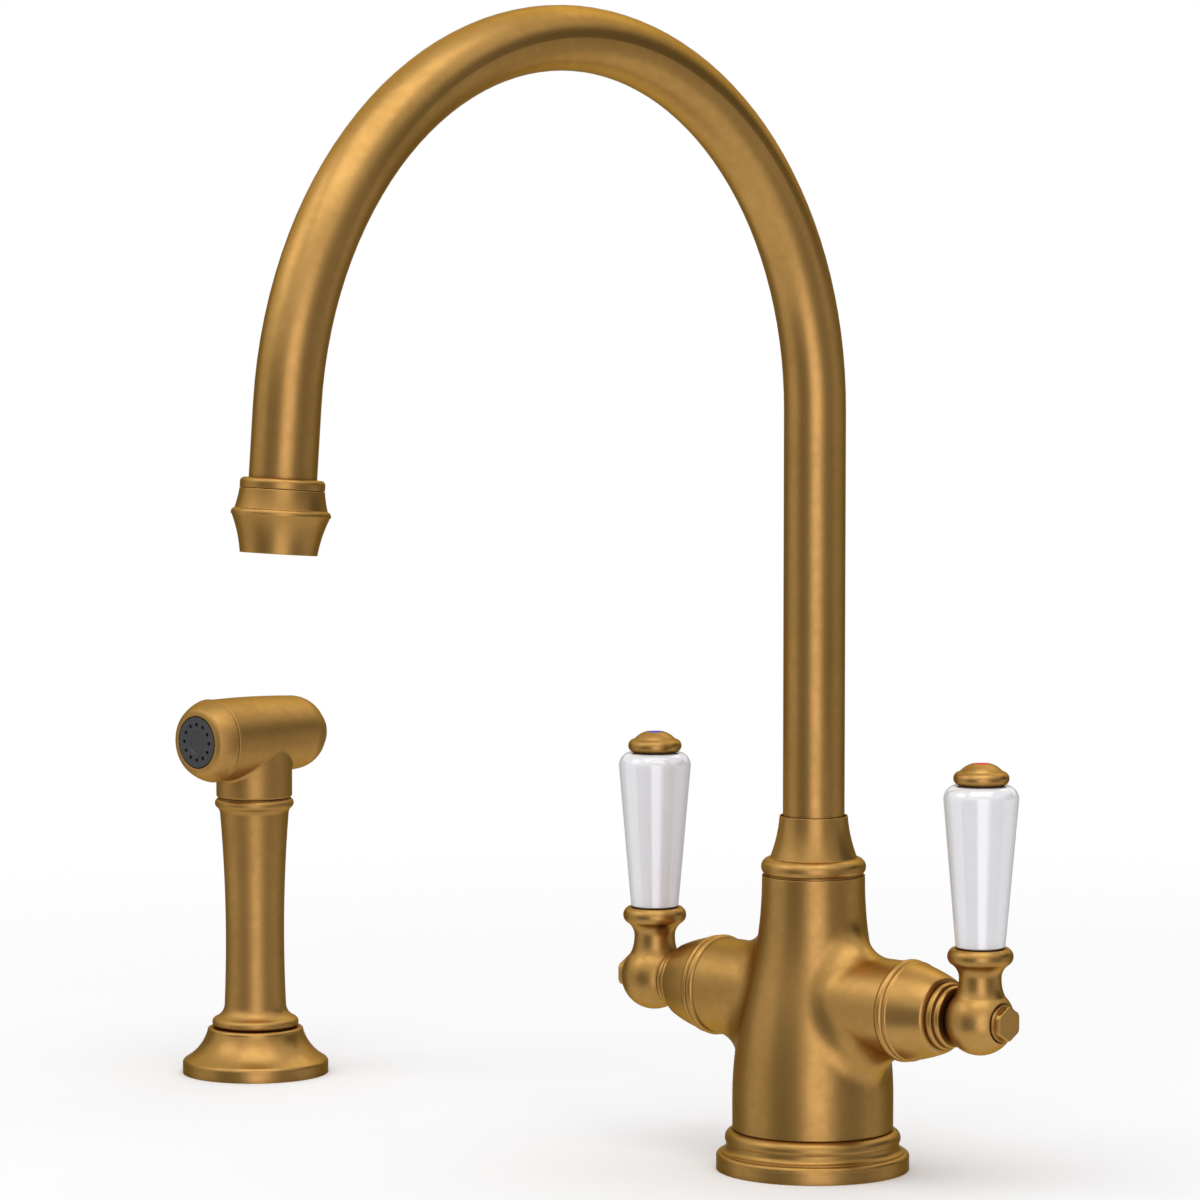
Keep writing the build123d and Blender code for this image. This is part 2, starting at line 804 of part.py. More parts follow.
ball_meet = (sqrt(ball_radius**2 - hub_crease_rise**2), arm_height + hub_crease_rise)
for side, water in ((1, "hot"), (-1, "cold")):
    arm = along_arm(side)
    lever = upright(side * lever_offset, 0)
    lever_axis = vertical(side * lever_offset, 0)

    with BuildPart() as bonnet:
        with BuildSketch(arm):
            with BuildLine():
                Polyline(
                    (shoulder_end, bonnet_bore),
                    (shoulder_end, bonnet_spigot_radius),
                    (arm_reach, bonnet_spigot_radius),
                    (arm_reach, arm_radius),
                )
                SagittaArc(
                    (arm_reach, arm_radius),
                    (arm_reach + bonnet_ring_width, arm_radius),
                    bonnet_ring_swell,
                )
                SagittaArc(
                    (arm_reach + bonnet_ring_width, arm_radius),
                    (bonnet_cone_start, arm_radius),
                    bonnet_line_ring_swell,
                )
                SagittaArc(
                    (bonnet_cone_start, arm_radius),
                    (bonnet_cone_end - bonnet_edge, bonnet_cone_radius + bonnet_edge / 2),
                    bonnet_cone_swell,
                )
                SagittaArc(
                    (bonnet_cone_end - bonnet_edge, bonnet_cone_radius + bonnet_edge / 2),
                    (bonnet_cone_end, bonnet_step_radius),
                    bonnet_edge / 2,
                )
                SagittaArc(
                    (bonnet_cone_end, bonnet_step_radius),
                    (bonnet_cone_end + bonnet_step_length, bonnet_step_radius),
                    bonnet_end_swell,
                )
                Line(
                    (bonnet_cone_end + bonnet_step_length, bonnet_step_radius),
                    (bonnet_cone_end + bonnet_step_length, bonnet_end_radius),
                )
                SagittaArc(
                    (bonnet_cone_end + bonnet_step_length, bonnet_end_radius),
                    (bonnet_end, bonnet_end_radius),
                    bonnet_end_swell,
                )
                Polyline(
                    (bonnet_end, bonnet_end_radius),
                    (bonnet_end, bonnet_mouth_radius),
                    (nose_end + thrust_gap, bonnet_mouth_radius),
                    (nose_end + thrust_gap, bonnet_bore),
                    (shoulder_end, bonnet_bore),
                )
            make_face()
        revolve(axis=arm_axis)
    keep(bonnet, f"{water}_bonnet")

    with BuildPart() as valve_body:
        with BuildSketch(arm):
            with BuildLine():
                Polyline(
                    (pocket_floor + thrust_gap, cavity_radius),
                    (pocket_floor + thrust_gap, pocket_radius - fit),
                    (counterbore_floor, pocket_radius - fit),
                    (counterbore_floor, bonnet_spigot_radius - fit),
                    (shoulder_end, bonnet_spigot_radius - fit),
                    (shoulder_end, valve_nose_radius),
                    (nose_end, valve_nose_radius),
                    (nose_end, spindle_bore),
                    (foot_end + thrust_gap, spindle_bore),
                    (foot_end + thrust_gap, cavity_radius),
                    close=True,
                )
            make_face()
        revolve(axis=arm_axis)
        with BuildSketch(Plane.XY.offset(arm_height)):
            with Locations((side * (turning_disc_end - window_width / 2), 0)):
                Rectangle(window_width, disc_radius)
        extrude(amount=pocket_radius, both=True, mode=Mode.SUBTRACT)
    keep(valve_body, f"{water}_valve_body")
    keep(ring(Plane(arm.origin, x_dir=(0, 0, 1), z_dir=(0, side, 0)), arm_axis,
              seat_seal_radius - seat_seal_wall, seat_seal_radius, pocket_floor, seal_end),
         f"{water}_seat_seal")

    discs = (("fixed_disc", seal_end + fit, 0), ("turning_disc", turning_disc_start, 90))
    for disc_name, start, turn in discs:
        with BuildPart() as disc:
            with BuildSketch(across_arm(side, start)):
                Circle(disc_radius)
                with PolarLocations(disc_port_offset, 2, start_angle=turn):
                    Circle(disc_port_radius, mode=Mode.SUBTRACT)
            extrude(amount=disc_thickness)
        keep(disc, f"{water}_{disc_name}")

    with BuildPart() as spindle:
        with BuildSketch(arm):
            with BuildLine():
                Polyline(
                    (foot_start, 0),
                    (foot_start, disc_radius),
                    (foot_end, disc_radius),
                    (foot_end, spindle_radius),
                    (spindle_ring_station - spindle_groove_half, spindle_radius),
                    (spindle_ring_station - spindle_groove_half, spindle_groove_floor),
                    (spindle_ring_station + spindle_groove_half, spindle_groove_floor),
                    (spindle_ring_station + spindle_groove_half, spindle_radius),
                    (square_start, spindle_radius),
                    (square_start, 0),
                    close=True,
                )
            make_face()
        revolve(axis=arm_axis)
        with BuildSketch(across_arm(side, square_start)):
            Rectangle(spindle_square, spindle_square)
        extrude(amount=spindle_end - square_start)
        with BuildSketch(across_arm(side, screw_tip - thrust_gap)):
            Circle(screw_radius + fit)
        extrude(amount=spindle_end - screw_tip + thrust_gap, mode=Mode.SUBTRACT)
    keep(spindle, f"{water}_spindle")
    keep(o_ring(Plane(arm.origin, x_dir=(0, 0, 1), z_dir=(0, side, 0)), arm_axis,
                spindle_radius - spindle_ring_section / 2, spindle_ring_section, (spindle_ring_station,)),
         f"{water}_spindle_o_ring")

    with BuildPart() as lever_hub:
        with BuildSketch(lever):
            with BuildLine():
                ThreePointArc(
                    (0, arm_height - ball_radius),
                    (ball_radius, arm_height),
                    ball_meet,
                )
                TangentArc(
                    (hub_neck_radius, neck_height),
                    ball_meet,
                    tangent=(0, -1),
                )
                SagittaArc(
                    (hub_neck_radius, neck_height),
                    (hub_flare_radius, flare_height),
                    hub_flare_hollow,
                )
                SagittaArc(
                    (hub_flare_radius, flare_height),
                    (hub_flare_radius, hub_top),
                    -hub_bead_swell,
                )
                Polyline(
                    (hub_flare_radius, hub_top),
                    (washer_radius + fit, hub_top),
                    (washer_radius + fit, hub_top - washer_recess),
                    (rod_radius + fit, hub_top - washer_recess),
                    (rod_radius + fit, rod_foot),
                    (0, rod_foot),
                    (0, arm_height - ball_radius),
                )
            make_face()
        revolve(axis=lever_axis)
        with BuildSketch(across_arm(side, boss_start)):
            Circle(hub_boss_radius)
        extrude(amount=lever_offset - boss_start)
        with BuildSketch(across_arm(side, boss_start)):
            Rectangle(square_play, square_play)
        extrude(amount=spindle_end + thrust_gap - boss_start, mode=Mode.SUBTRACT)
        with BuildSketch(across_arm(side, boss_start)):
            Circle(screw_radius + screw_hole_play)
        extrude(amount=lever_offset + ball_radius - boss_start, mode=Mode.SUBTRACT)
        with BuildSketch(across_arm(side, screw_seat)):
            Circle(screw_recess_radius)
        extrude(amount=ball_radius, mode=Mode.SUBTRACT)
    keep(lever_hub, f"{water}_lever_hub")

    with BuildPart() as lever_screw:
        with BuildSketch(across_arm(side, screw_seat)):
            RegularPolygon(screw_head_flats / 2, 6, major_radius=False, rotation=90)
            Circle(screw_head_turned, mode=Mode.INTERSECT)
        extrude(amount=screw_head_height)
        crown = lever_screw.faces().sort_by(Axis.X)[-1 if side > 0 else 0]
        fillet(crown.edges(), radius=screw_head_round)
        with BuildSketch(across_arm(side, screw_seat)):
            Circle(screw_recess_radius - screw_collar_gap)
        extrude(amount=screw_collar_height)
        with BuildSketch(across_arm(side, screw_tip)):
            Circle(screw_radius)
        extrude(amount=screw_seat - screw_tip)
    keep(lever_screw, f"{water}_lever_screw")

    with BuildPart() as lever_rod:
        with BuildSketch(Plane.XY.offset(rod_foot)):
            with Locations((side * lever_offset, 0)):
                Circle(rod_radius)
        extrude(amount=rod_top - rod_foot)
        chamfer(lever_rod.edges().filter_by(GeomType.CIRCLE), length=joint_line)
    keep(lever_rod, f"{water}_lever_rod")

    with BuildPart() as lever_grip:
        with BuildSketch(lever):
            with BuildLine():
                Polyline(
                    (grip_bore, grip_foot),
                    (grip_foot_radius - joint_line, grip_foot),
                    (grip_foot_radius, grip_foot + joint_line),
                    (grip_shoulder_radius, grip_shoulder),
                )
                SagittaArc(
                    (grip_shoulder_radius, grip_shoulder),
                    (grip_top_radius, grip_top),
                    -grip_shoulder_swell,
                )
                Polyline((grip_top_radius, grip_top), (grip_bore, grip_top), (grip_bore, grip_foot))
            make_face()
        revolve(axis=lever_axis)
    keep(lever_grip, f"{water}_lever_grip")

    with BuildPart() as grip_washers:
        for low, high in ((hub_top - washer_recess, grip_foot), (grip_top, finial_foot + washer_recess)):
            with BuildSketch(lever):
                with BuildLine():
                    Polyline(
                        (rod_radius + fit, low),
                        (washer_radius, low),
                        (washer_radius, high),
                        (rod_radius + fit, high),
                        close=True,
                    )
                make_face()
            revolve(axis=lever_axis)
    keep(grip_washers, f"{water}_grip_washers")

    with BuildPart() as lever_finial:
        with BuildSketch(lever):
            with BuildLine():
                SagittaArc(
                    (finial_foot_radius, finial_foot),
                    (finial_dome_radius, finial_ring_top),
                    -finial_ring_swell,
                )
                SagittaArc(
                    (finial_dome_radius, finial_ring_top),
                    (dome_top_radius, finial_top),
                    -finial_dome_swell,
                )
                Polyline(
                    (dome_top_radius, finial_top),
                    (index_radius + fit, finial_top),
                    (index_radius + fit, index_seat),
                    (0, index_seat),
                    (0, rod_top + thrust_gap),
                    (rod_radius + fit, rod_top + thrust_gap),
                    (rod_radius + fit, finial_foot + washer_recess),
                    (washer_radius + fit, finial_foot + washer_recess),
                    (washer_radius + fit, finial_foot),
                    (finial_foot_radius, finial_foot),
                )
            make_face()
        revolve(axis=lever_axis)
    keep(lever_finial, f"{water}_lever_finial")

    with BuildPart() as index_disc:
        with BuildSketch(lever):
            with BuildLine():
                Polyline((0, index_seat), (index_radius, index_seat), (index_radius, finial_top - fit))
                TangentArc((0, finial_top + fit), (index_radius, finial_top - fit), tangent=(1, 0))
                Line((0, finial_top + fit), (0, index_seat))
            make_face()
        revolve(axis=lever_axis)
    keep(index_disc, f"{water}_index_disc")

# Rinse spray: deck flange with its seal and guide bush
spray = upright(spray_x, spray_y)
spray_axis = vertical(spray_x, spray_y)
spray_shoulder_z = spray_base_rim + spray_base_shoulder
spray_cove_z = spray_shoulder_z + spray_cove_height
spray_shoulder_radius = spray_base_radius - spray_base_step
spray_cove_radius = spray_lip_radius + spray_lip_reach
spray_bore = bush_radius + fit
spray_seal_outer = spray_base_radius - deck_seal_inset
spray_seal_inner = spray_seal_outer - deck_seal_width
with BuildPart() as spray_flange:
    with BuildSketch(spray):
        with BuildLine():
            Polyline(
                (spray_bore, 0),
                (spray_seal_inner, 0),
                (spray_seal_inner, deck_seal_height),
                (spray_seal_outer, deck_seal_height),
                (spray_seal_outer, 0),
                (spray_base_radius, 0),
                (spray_base_radius, spray_base_rim),
            )
            SagittaArc(
                (spray_base_radius, spray_base_rim),
                (spray_shoulder_radius, spray_shoulder_z),
                -spray_base_swell,
            )
            SagittaArc(
                (spray_shoulder_radius, spray_shoulder_z),
                (spray_cove_radius, spray_cove_z),
                spray_cove_depth,
            )
            SagittaArc(
                (spray_cove_radius, spray_cove_z),
                (spray_lip_radius, spray_seat),
                -spray_base_swell,
            )
            Polyline((spray_lip_radius, spray_seat), (spray_bore, spray_seat), (spray_bore, 0))
        make_face()
    revolve(axis=spray_axis)
keep(spray_flange, "spray_flange")
keep(ring(spray, spray_axis, spray_seal_inner + fit, spray_seal_outer - fit, 0, deck_seal_height),
     "spray_flange_seal")
keep(ring(spray, spray_axis, stem_spigot_radius + running, bush_radius, bush_foot_gap,
          spray_seat - bush_inset), "spray_guide_bush")

# Rinse spray: stem and the hose connector that it turns on
stem_spigot_foot = stem_foot - stem_spigot_length
stem_bead_radius = stem_spigot_radius + stem_bead_step
stem_bead_top = stem_foot + stem_bead_height
stem_shaft_foot = stem_bead_top + stem_ogee_height
stem_waist = stem_shaft_foot + stem_waist_rise
stem_collar = stem_top - stem_top_bead_height - joint_line
stem_cove_foot = stem_collar - stem_cove_height
stem_cove_radius = stem_top_radius + stem_cove_step
stem_lip_radius = stem_top_radius + stem_neck_step
connector_foot = stem_spigot_foot
connector_top = connector_foot + connector_length
connector_socket = connector_radius + running
connector_groove_floor = connector_radius - connector_ring_section - fit
connector_groove_half = connector_ring_section / 2 + ring_side_play
connector_ring_station = connector_top - connector_ring_drop
with BuildPart() as spray_stem:
    with BuildSketch(spray):
        with BuildLine():
            Polyline(
                (connector_socket, stem_spigot_foot),
                (stem_spigot_radius, stem_spigot_foot),
                (stem_spigot_radius, stem_foot),
                (stem_bead_radius, stem_foot),
            )
            SagittaArc((stem_bead_radius, stem_foot), (stem_bead_radius, stem_bead_top), -stem_bead_swell)
            SagittaArc(
                (stem_bead_radius, stem_bead_top),
                (stem_foot_radius, stem_shaft_foot),
                stem_ogee_depth,
            )
            ThreePointArc(
                (stem_foot_radius, stem_shaft_foot),
                (stem_waist_radius, stem_waist),
                (stem_top_radius, stem_cove_foot),
            )
            SagittaArc(
                (stem_top_radius, stem_cove_foot),
                (stem_cove_radius, stem_collar),
                stem_cove_depth,
            )
            SagittaArc(
                (stem_cove_radius, stem_collar),
                (stem_lip_radius, stem_top - joint_line),
                -stem_top_bead_swell,
            )
            Polyline(
                (stem_lip_radius, stem_top - joint_line),
                (stem_lip_radius - joint_line, stem_top - joint_line),
                (stem_lip_radius - joint_line, stem_top),
                (stem_bore_radius, stem_top),
                (stem_bore_radius, connector_top + thrust_gap),
                (connector_socket, connector_top + thrust_gap),
                (connector_socket, stem_spigot_foot),
            )
        make_face()
    revolve(axis=spray_axis)
keep(spray_stem, "spray_stem")
with BuildPart() as hose_connector:
    with BuildSketch(spray):
        with BuildLine():
            Polyline(
                (hose_hole_radius, connector_foot),
                (connector_radius, connector_foot),
                (connector_radius, connector_ring_station - connector_groove_half),
                (connector_groove_floor, connector_ring_station - connector_groove_half),
                (connector_groove_floor, connector_ring_station + connector_groove_half),
                (connector_radius, connector_ring_station + connector_groove_half),
                (connector_radius, connector_top),
                (connector_bore, connector_top),
                (connector_bore, connector_foot + hose_hole_depth),
                (hose_hole_radius, connector_foot + hose_hole_depth),
                close=True,
            )
        make_face()
    revolve(axis=spray_axis)
keep(hose_connector, "spray_hose_connector")
keep(o_ring(spray, spray_axis, connector_radius - connector_ring_section / 2, connector_ring_section,
            (connector_ring_station,)), "spray_connector_o_ring")

# Rinse spray: head, a neck and a barrel with a stepped bore for the valve
barrel = Plane(origin=(spray_x, spray_y, head_height), x_dir=(0, 1, 0), z_dir=(1, 0, 0))
barrel_axis = Axis((spray_x, spray_y, head_height), (0, 1, 0))
round_start = barrel_back - barrel_back_round
round_radius = barrel_radius - barrel_taper
gasket_back = face_front - face_boss - face_flange - gasket_height
pocket_bore = button_radius + running
guide_bore = valve_rod_radius + running
with BuildPart() as spray_head:
    with BuildSketch(Plane.XY.offset(stem_top)):
        with Locations((spray_x, spray_y)):
            Circle(head_neck_radius)
    extrude(amount=head_rise)
    fillet(spray_head.edges().sort_by(Axis.Z)[0], radius=head_neck_round)
    with BuildSketch(barrel):
        with BuildLine():
            Polyline(
                (-gasket_back, 0),
                (-gasket_back, front_thread_radius),
                (-barrel_front, front_thread_radius),
                (-barrel_front, barrel_radius - joint_line),
                (joint_line - barrel_front, barrel_radius),
            )
            SagittaArc((joint_line - barrel_front, barrel_radius), (round_start, round_radius), barrel_swell)
            SagittaArc((round_start, round_radius), (barrel_back, barrel_back_radius), barrel_back_swell)
            Polyline((barrel_back, barrel_back_radius), (barrel_back, 0), (-gasket_back, 0))
        make_face()
    revolve(axis=barrel_axis)
    neck_join = spray_head.edges().filter_by(GeomType.CIRCLE, reverse=True).filter_by(
        lambda edge: stem_top + fit < edge.center().Z < head_height - fit
    )
    fillet(neck_join, radius=head_fillet)
    with BuildSketch(Plane.XY.offset(stem_top)):
        with Locations((spray_x, spray_y)):
            Circle(stem_bore_radius)
    extrude(amount=head_rise, mode=Mode.SUBTRACT)
    with BuildSketch(barrel):
        with BuildLine():
            Polyline(
                (-gasket_back, 0),
                (-gasket_back, front_chamber_radius),
                (-valve_seat_front, front_chamber_radius),
                (-valve_seat_front, valve_seat_hole),
                (valve_seat_wall - valve_seat_front, valve_seat_hole),
                (valve_seat_wall - valve_seat_front, middle_chamber_radius),
                (guide_start, middle_chamber_radius),
                (guide_start, guide_bore),
                (guide_end, guide_bore),
                (guide_end, pocket_bore),
                (barrel_back, pocket_bore),
                (barrel_back, 0),
                close=True,
            )
        make_face()
    revolve(axis=barrel_axis, mode=Mode.SUBTRACT)
keep(spray_head, "spray_head")

# Rinse spray: front ring, spray face with its jets, and gasket
face_back = face_front - face_boss
ring_round_start = barrel_front + front_ring_length
ring_round_radius = front_ring_radius - front_ring_drop
ring_groove_end = barrel_front + front_ring_groove
ring_groove_floor = front_ring_radius - front_ring_groove_depth
with BuildPart() as spray_front_ring:
    with BuildSketch(barrel):
        with BuildLine():
            Polyline(
                (-barrel_front, front_thread_radius + fit),
                (-barrel_front, ring_groove_floor),
                (-ring_groove_end, ring_groove_floor),
                (-ring_groove_end, front_ring_radius - front_ring_edge),
                (-ring_groove_end - front_ring_edge, front_ring_radius),
            )
            SagittaArc(
                (-ring_groove_end - front_ring_edge, front_ring_radius),
                (-ring_round_start, ring_round_radius),
                -front_ring_swell,
            )
            SagittaArc(
                (-ring_round_start, ring_round_radius),
                (-face_front, face_radius + front_ring_rim),
                -front_ring_round_swell,
            )
            Polyline(
                (-face_front, face_radius + front_ring_rim),
                (-face_front, face_radius + face_gap),
                (face_gap_depth - face_front, face_radius + face_gap),
                (face_gap_depth - face_front, face_radius + fit),
                (-face_back, face_radius + fit),
                (-face_back, front_thread_radius + fit),
                (-barrel_front, front_thread_radius + fit),
            )
        make_face()
    revolve(axis=barrel_axis)
keep(spray_front_ring, "spray_front_ring")
with BuildPart() as spray_face:
    with BuildSketch(barrel):
        with BuildLine():
            Polyline(
                (face_flange - face_back, 0),
                (face_flange - face_back, face_flange_radius),
                (-face_back, face_flange_radius),
                (-face_back, face_radius),
                (-face_front, face_radius),
                (-face_front, face_dish_radius),
                (face_dish_depth - face_front, face_dish_radius - face_dish_depth),
                (face_dish_depth - face_front, 0),
                close=True,
            )
        make_face()
    revolve(axis=barrel_axis)
    with BuildSketch(across_head(-face_front)):
        with PolarLocations(jet_circle_radius, jet_count):
            Circle(jet_radius)
    extrude(amount=face_boss + face_flange, mode=Mode.SUBTRACT)
keep(spray_face, "spray_face")
keep(ring(Plane(barrel.origin, x_dir=(0, 0, 1), z_dir=(-1, 0, 0)), barrel_axis,
          face_flange_radius - gasket_width, face_flange_radius, -gasket_back - gasket_height, -gasket_back),
     "spray_face_gasket")

# Rinse spray: push button, valve stem with its seal, and return spring
button_rim = barrel_back + button_proud
button_inner = button_rim - button_length
button_hollow = button_radius - button_wall
disc_seat = valve_seat_front + thrust_gap
disc_face = disc_seat + valve_seal_height
disc_front = disc_seat + valve_disc_height
with BuildPart() as spray_button:
    with BuildSketch(barrel):
        with BuildLine():
            Polyline(
                (button_rim - button_web, button_thread_radius + fit),
                (button_rim - button_web, button_hollow),
                (button_inner, button_hollow),
                (button_inner, button_radius),
                (button_rim, button_radius),
            )
            TangentArc((button_rim + button_dome, 0), (button_rim, button_radius), tangent=(0, 1))
            Polyline(
                (button_rim + button_dome, 0),
                (button_rim, 0),
                (button_rim, button_thread_radius + fit),
                (button_rim - button_web, button_thread_radius + fit),
            )
        make_face()
    revolve(axis=barrel_axis)
keep(spray_button, "spray_button")
with BuildPart() as spray_valve_stem:
    with BuildSketch(barrel):
        with BuildLine():
            Polyline(
                (-disc_front, 0),
                (-disc_front, valve_disc_radius),
                (-disc_face, valve_disc_radius),
                (-disc_face, valve_rod_neck),
                (guide_start - thrust_gap, valve_rod_neck),
                (guide_start - thrust_gap, valve_rod_radius),
                (button_rim - button_web, valve_rod_radius),
                (button_rim - button_web, button_thread_radius),
                (button_rim - fit, button_thread_radius),
                (button_rim - fit, 0),
                close=True,
            )
        make_face()
    revolve(axis=barrel_axis)
keep(spray_valve_stem, "spray_valve_stem")
keep(ring(Plane(barrel.origin, x_dir=(0, 0, 1), z_dir=(-1, 0, 0)), barrel_axis,
          valve_disc_radius - valve_seal_wall, valve_disc_radius, -disc_face, -disc_seat),
     "spray_valve_seal")
keep(coil(across_head(guide_end + fit), (valve_rod_radius + button_hollow) / 2, button_wire,
          button_rim - button_web - guide_end - 2 * fit, button_spring_turns), "spray_button_spring")

os.makedirs("parts", exist_ok=True)
for name, piece in pieces.items():
    export_step(piece, f"parts/{name}.step")
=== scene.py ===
"""Studio scene of a two-lever kitchen mixer tap in aged brass, with its side rinse spray.

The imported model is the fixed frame: every length below is in metres, in the frame of the model.
The tap's column stands on the origin, the spout reaches towards -Y, the hot lever is on +X and the
spray on -X.
"""

from __future__ import annotations

import logging
import math
from collections.abc import Mapping, Sequence
from dataclasses import dataclass, field
from enum import Enum
from typing import Any, Union

import bmesh
import bpy
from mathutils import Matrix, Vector


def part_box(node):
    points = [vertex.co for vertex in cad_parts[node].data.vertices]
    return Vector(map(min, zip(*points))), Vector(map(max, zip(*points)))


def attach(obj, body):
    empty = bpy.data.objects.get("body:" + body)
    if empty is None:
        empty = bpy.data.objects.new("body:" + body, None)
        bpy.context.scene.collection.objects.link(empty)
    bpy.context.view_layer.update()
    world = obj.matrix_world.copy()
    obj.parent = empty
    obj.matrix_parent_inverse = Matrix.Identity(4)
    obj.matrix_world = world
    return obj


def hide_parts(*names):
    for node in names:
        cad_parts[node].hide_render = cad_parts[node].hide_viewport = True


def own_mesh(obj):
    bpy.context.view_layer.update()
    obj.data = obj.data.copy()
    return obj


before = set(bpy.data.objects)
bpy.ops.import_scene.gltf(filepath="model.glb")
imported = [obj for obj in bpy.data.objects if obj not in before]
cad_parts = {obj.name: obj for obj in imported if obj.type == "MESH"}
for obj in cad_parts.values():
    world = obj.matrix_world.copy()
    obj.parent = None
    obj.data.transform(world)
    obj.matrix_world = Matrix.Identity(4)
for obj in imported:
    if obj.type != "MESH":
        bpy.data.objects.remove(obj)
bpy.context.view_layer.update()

LOG = logging.getLogger("mixer_tap")

Colour = tuple[float, float, float]
Point = tuple[float, float, float]
Number = Union["Socket", float]


class Socket:
    """The output of a shader node, which Python's operators join into Math nodes."""

    def __init__(self, graph: Graph, output: bpy.types.NodeSocket) -> None:
        """Keeps the node tree and the output that this value comes from."""
        self.graph = graph
        self.output = output

    def _math(self, operation: str, first: Number, second: Number) -> Socket:
        """Adds one Math node on two values."""
        return self.graph.node("ShaderNodeMath", {"operation": operation}, {0: first, 1: second})

    def __add__(self, other: Number) -> Socket:
        """self + other."""
        return self._math("ADD", self, other)

    def __radd__(self, other: Number) -> Socket:
        """other + self."""
        return self._math("ADD", other, self)

    def __sub__(self, other: Number) -> Socket:
        """self - other."""
        return self._math("SUBTRACT", self, other)

    def __rsub__(self, other: Number) -> Socket:
        """other - self."""
        return self._math("SUBTRACT", other, self)

    def __mul__(self, other: Number) -> Socket:
        """self * other."""
        return self._math("MULTIPLY", self, other)

    def __rmul__(self, other: Number) -> Socket:
        """other * self."""
        return self._math("MULTIPLY", other, self)

    def larger(self, other: Number) -> Socket:
        """The larger of this value and another."""
        return self._math("MAXIMUM", self, other)

    def rise(self, low: float, high: float) -> Socket:
        """A smooth step from 0 at low to 1 at high; low may be above high."""
        span = {"From Min": low, "From Max": high}
        settings = {"interpolation_type": "SMOOTHSTEP"}
        return self.graph.node("ShaderNodeMapRange", settings, {"Value": self, **span})

    def also(self, name: str) -> Socket:
        """Another output of the node that this value comes from."""
        return Socket(self.graph, self.output.node.outputs[name])


class Graph:
    """The node tree of one material or world."""

    def __init__(self, tree: bpy.types.NodeTree) -> None:
        """Starts from an empty tree."""
        tree.nodes.clear()
        self.tree = tree

    def node(
        self,
        kind: str,
        settings: Mapping[str, Any] | None = None,
        sockets: Mapping[int | str, Any] | None = None,
        output: int | str = 0,
    ) -> Socket:
        """Adds a node of any type.

        Args:
            kind: Blender's name of the node's type.
            settings: the node's own settings, which are set first.
            sockets: values or links by the socket's name or number.
            output: name or number of the output that is wanted.

        Returns:
            The wanted output, as a value for expressions.
        """
        made = self.tree.nodes.new(kind)
        for name, value in (settings or {}).items():
            setattr(made, name, value)
        for name, value in (sockets or {}).items():
            target = made.inputs[name]
            if isinstance(value, Socket):
                self.tree.links.new(value.output, target)
            elif target.type == "RGBA":
                target.default_value = (*value[:3], 1.0)
            else:
                target.default_value = value
        return Socket(self, made.outputs[output]) if made.outputs else Socket(self, None)

    def mix(self, factor: Number, low: Socket | Colour, high: Socket | Colour) -> Socket:
        """A colour between two colours."""
        sockets = {0: factor, 6: low, 7: high}
        return self.node("ShaderNodeMix", {"data_type": "RGBA"}, sockets, output=2)

    def place(self) -> Socket:
        """The surface point in metres, fixed to the piece."""
        return self.node("ShaderNodeTexCoord", output="Object")

    def stretched(self, scale: Point) -> Socket:
        """The surface point with each axis scaled, for grain that runs one way."""
        sockets = {0: self.place(), 1: scale}
        return self.node("ShaderNodeVectorMath", {"operation": "MULTIPLY"}, sockets)

    def noise(self, place: Socket, scale: float, detail: float = 2.0, rough: float = 0.5) -> Socket:
        """Noise of a given number of features to the metre, from 0 to 1 about a half."""
        sockets = {"Vector": place, "Scale": scale, "Detail": detail, "Roughness": rough}
        return self.node("ShaderNodeTexNoise", {}, sockets)

    def shelter(self, reach: float, samples: int = 6) -> Socket:
        """How far a point is boxed in by what lies within reach: 0 in the open, 1 deep in a crevice."""
        settings = {"samples": samples}
        openness = self.node("ShaderNodeAmbientOcclusion", settings, {"Distance": reach}, output="AO")
        return 1.0 - openness

    def soft_edges(self, radius: float) -> Socket:
        """The surface normal with every edge rounded to a radius."""
        return self.node("ShaderNodeBevel", {"samples": 4}, {"Radius": radius})

    def on_edge(self, rounded: Socket, smooth: float = 0.995, sharp: float = 0.9) -> Socket:
        """1 along edges and 0 on smooth ground, from how far the rounded normal leaves the true one.

        Args:
            rounded: the normal with every edge rounded.
            smooth: cosine between the two normals that still counts as smooth ground.
            sharp: cosine that counts as a full edge.

        Returns:
            How much of an edge the point is.
        """
        true = self.node("ShaderNodeNewGeometry", output="Normal")
        sockets = {0: rounded, 1: true}
        along = self.node("ShaderNodeVectorMath", {"operation": "DOT_PRODUCT"}, sockets, output="Value")
        return along.rise(smooth, sharp)

    def bump(
        self, height: Socket, depth: float, strength: float, normal: Socket | None = None
    ) -> Socket:
        """A normal with fine relief.

        Args:
            height: the relief, from 0 to 1.
            depth: the relief's full height in metres.
            strength: share of the relief that shows.
            normal: the normal that the relief is laid over, or None for the surface's own.

        Returns:
            The normal for a shader.
        """
        sockets: dict[str, Any] = {"Height": height, "Distance": depth, "Strength": strength}
        if normal is not None:
            sockets["Normal"] = normal
        return self.node("ShaderNodeBump", {}, sockets)

    def surface(self, sockets: Mapping[str, Any]) -> None:
        """Ends a material with a Principled shader of these sockets."""
        shader = self.node("ShaderNodeBsdfPrincipled", {}, sockets)
        self.node("ShaderNodeOutputMaterial", {}, {"Surface": shader})


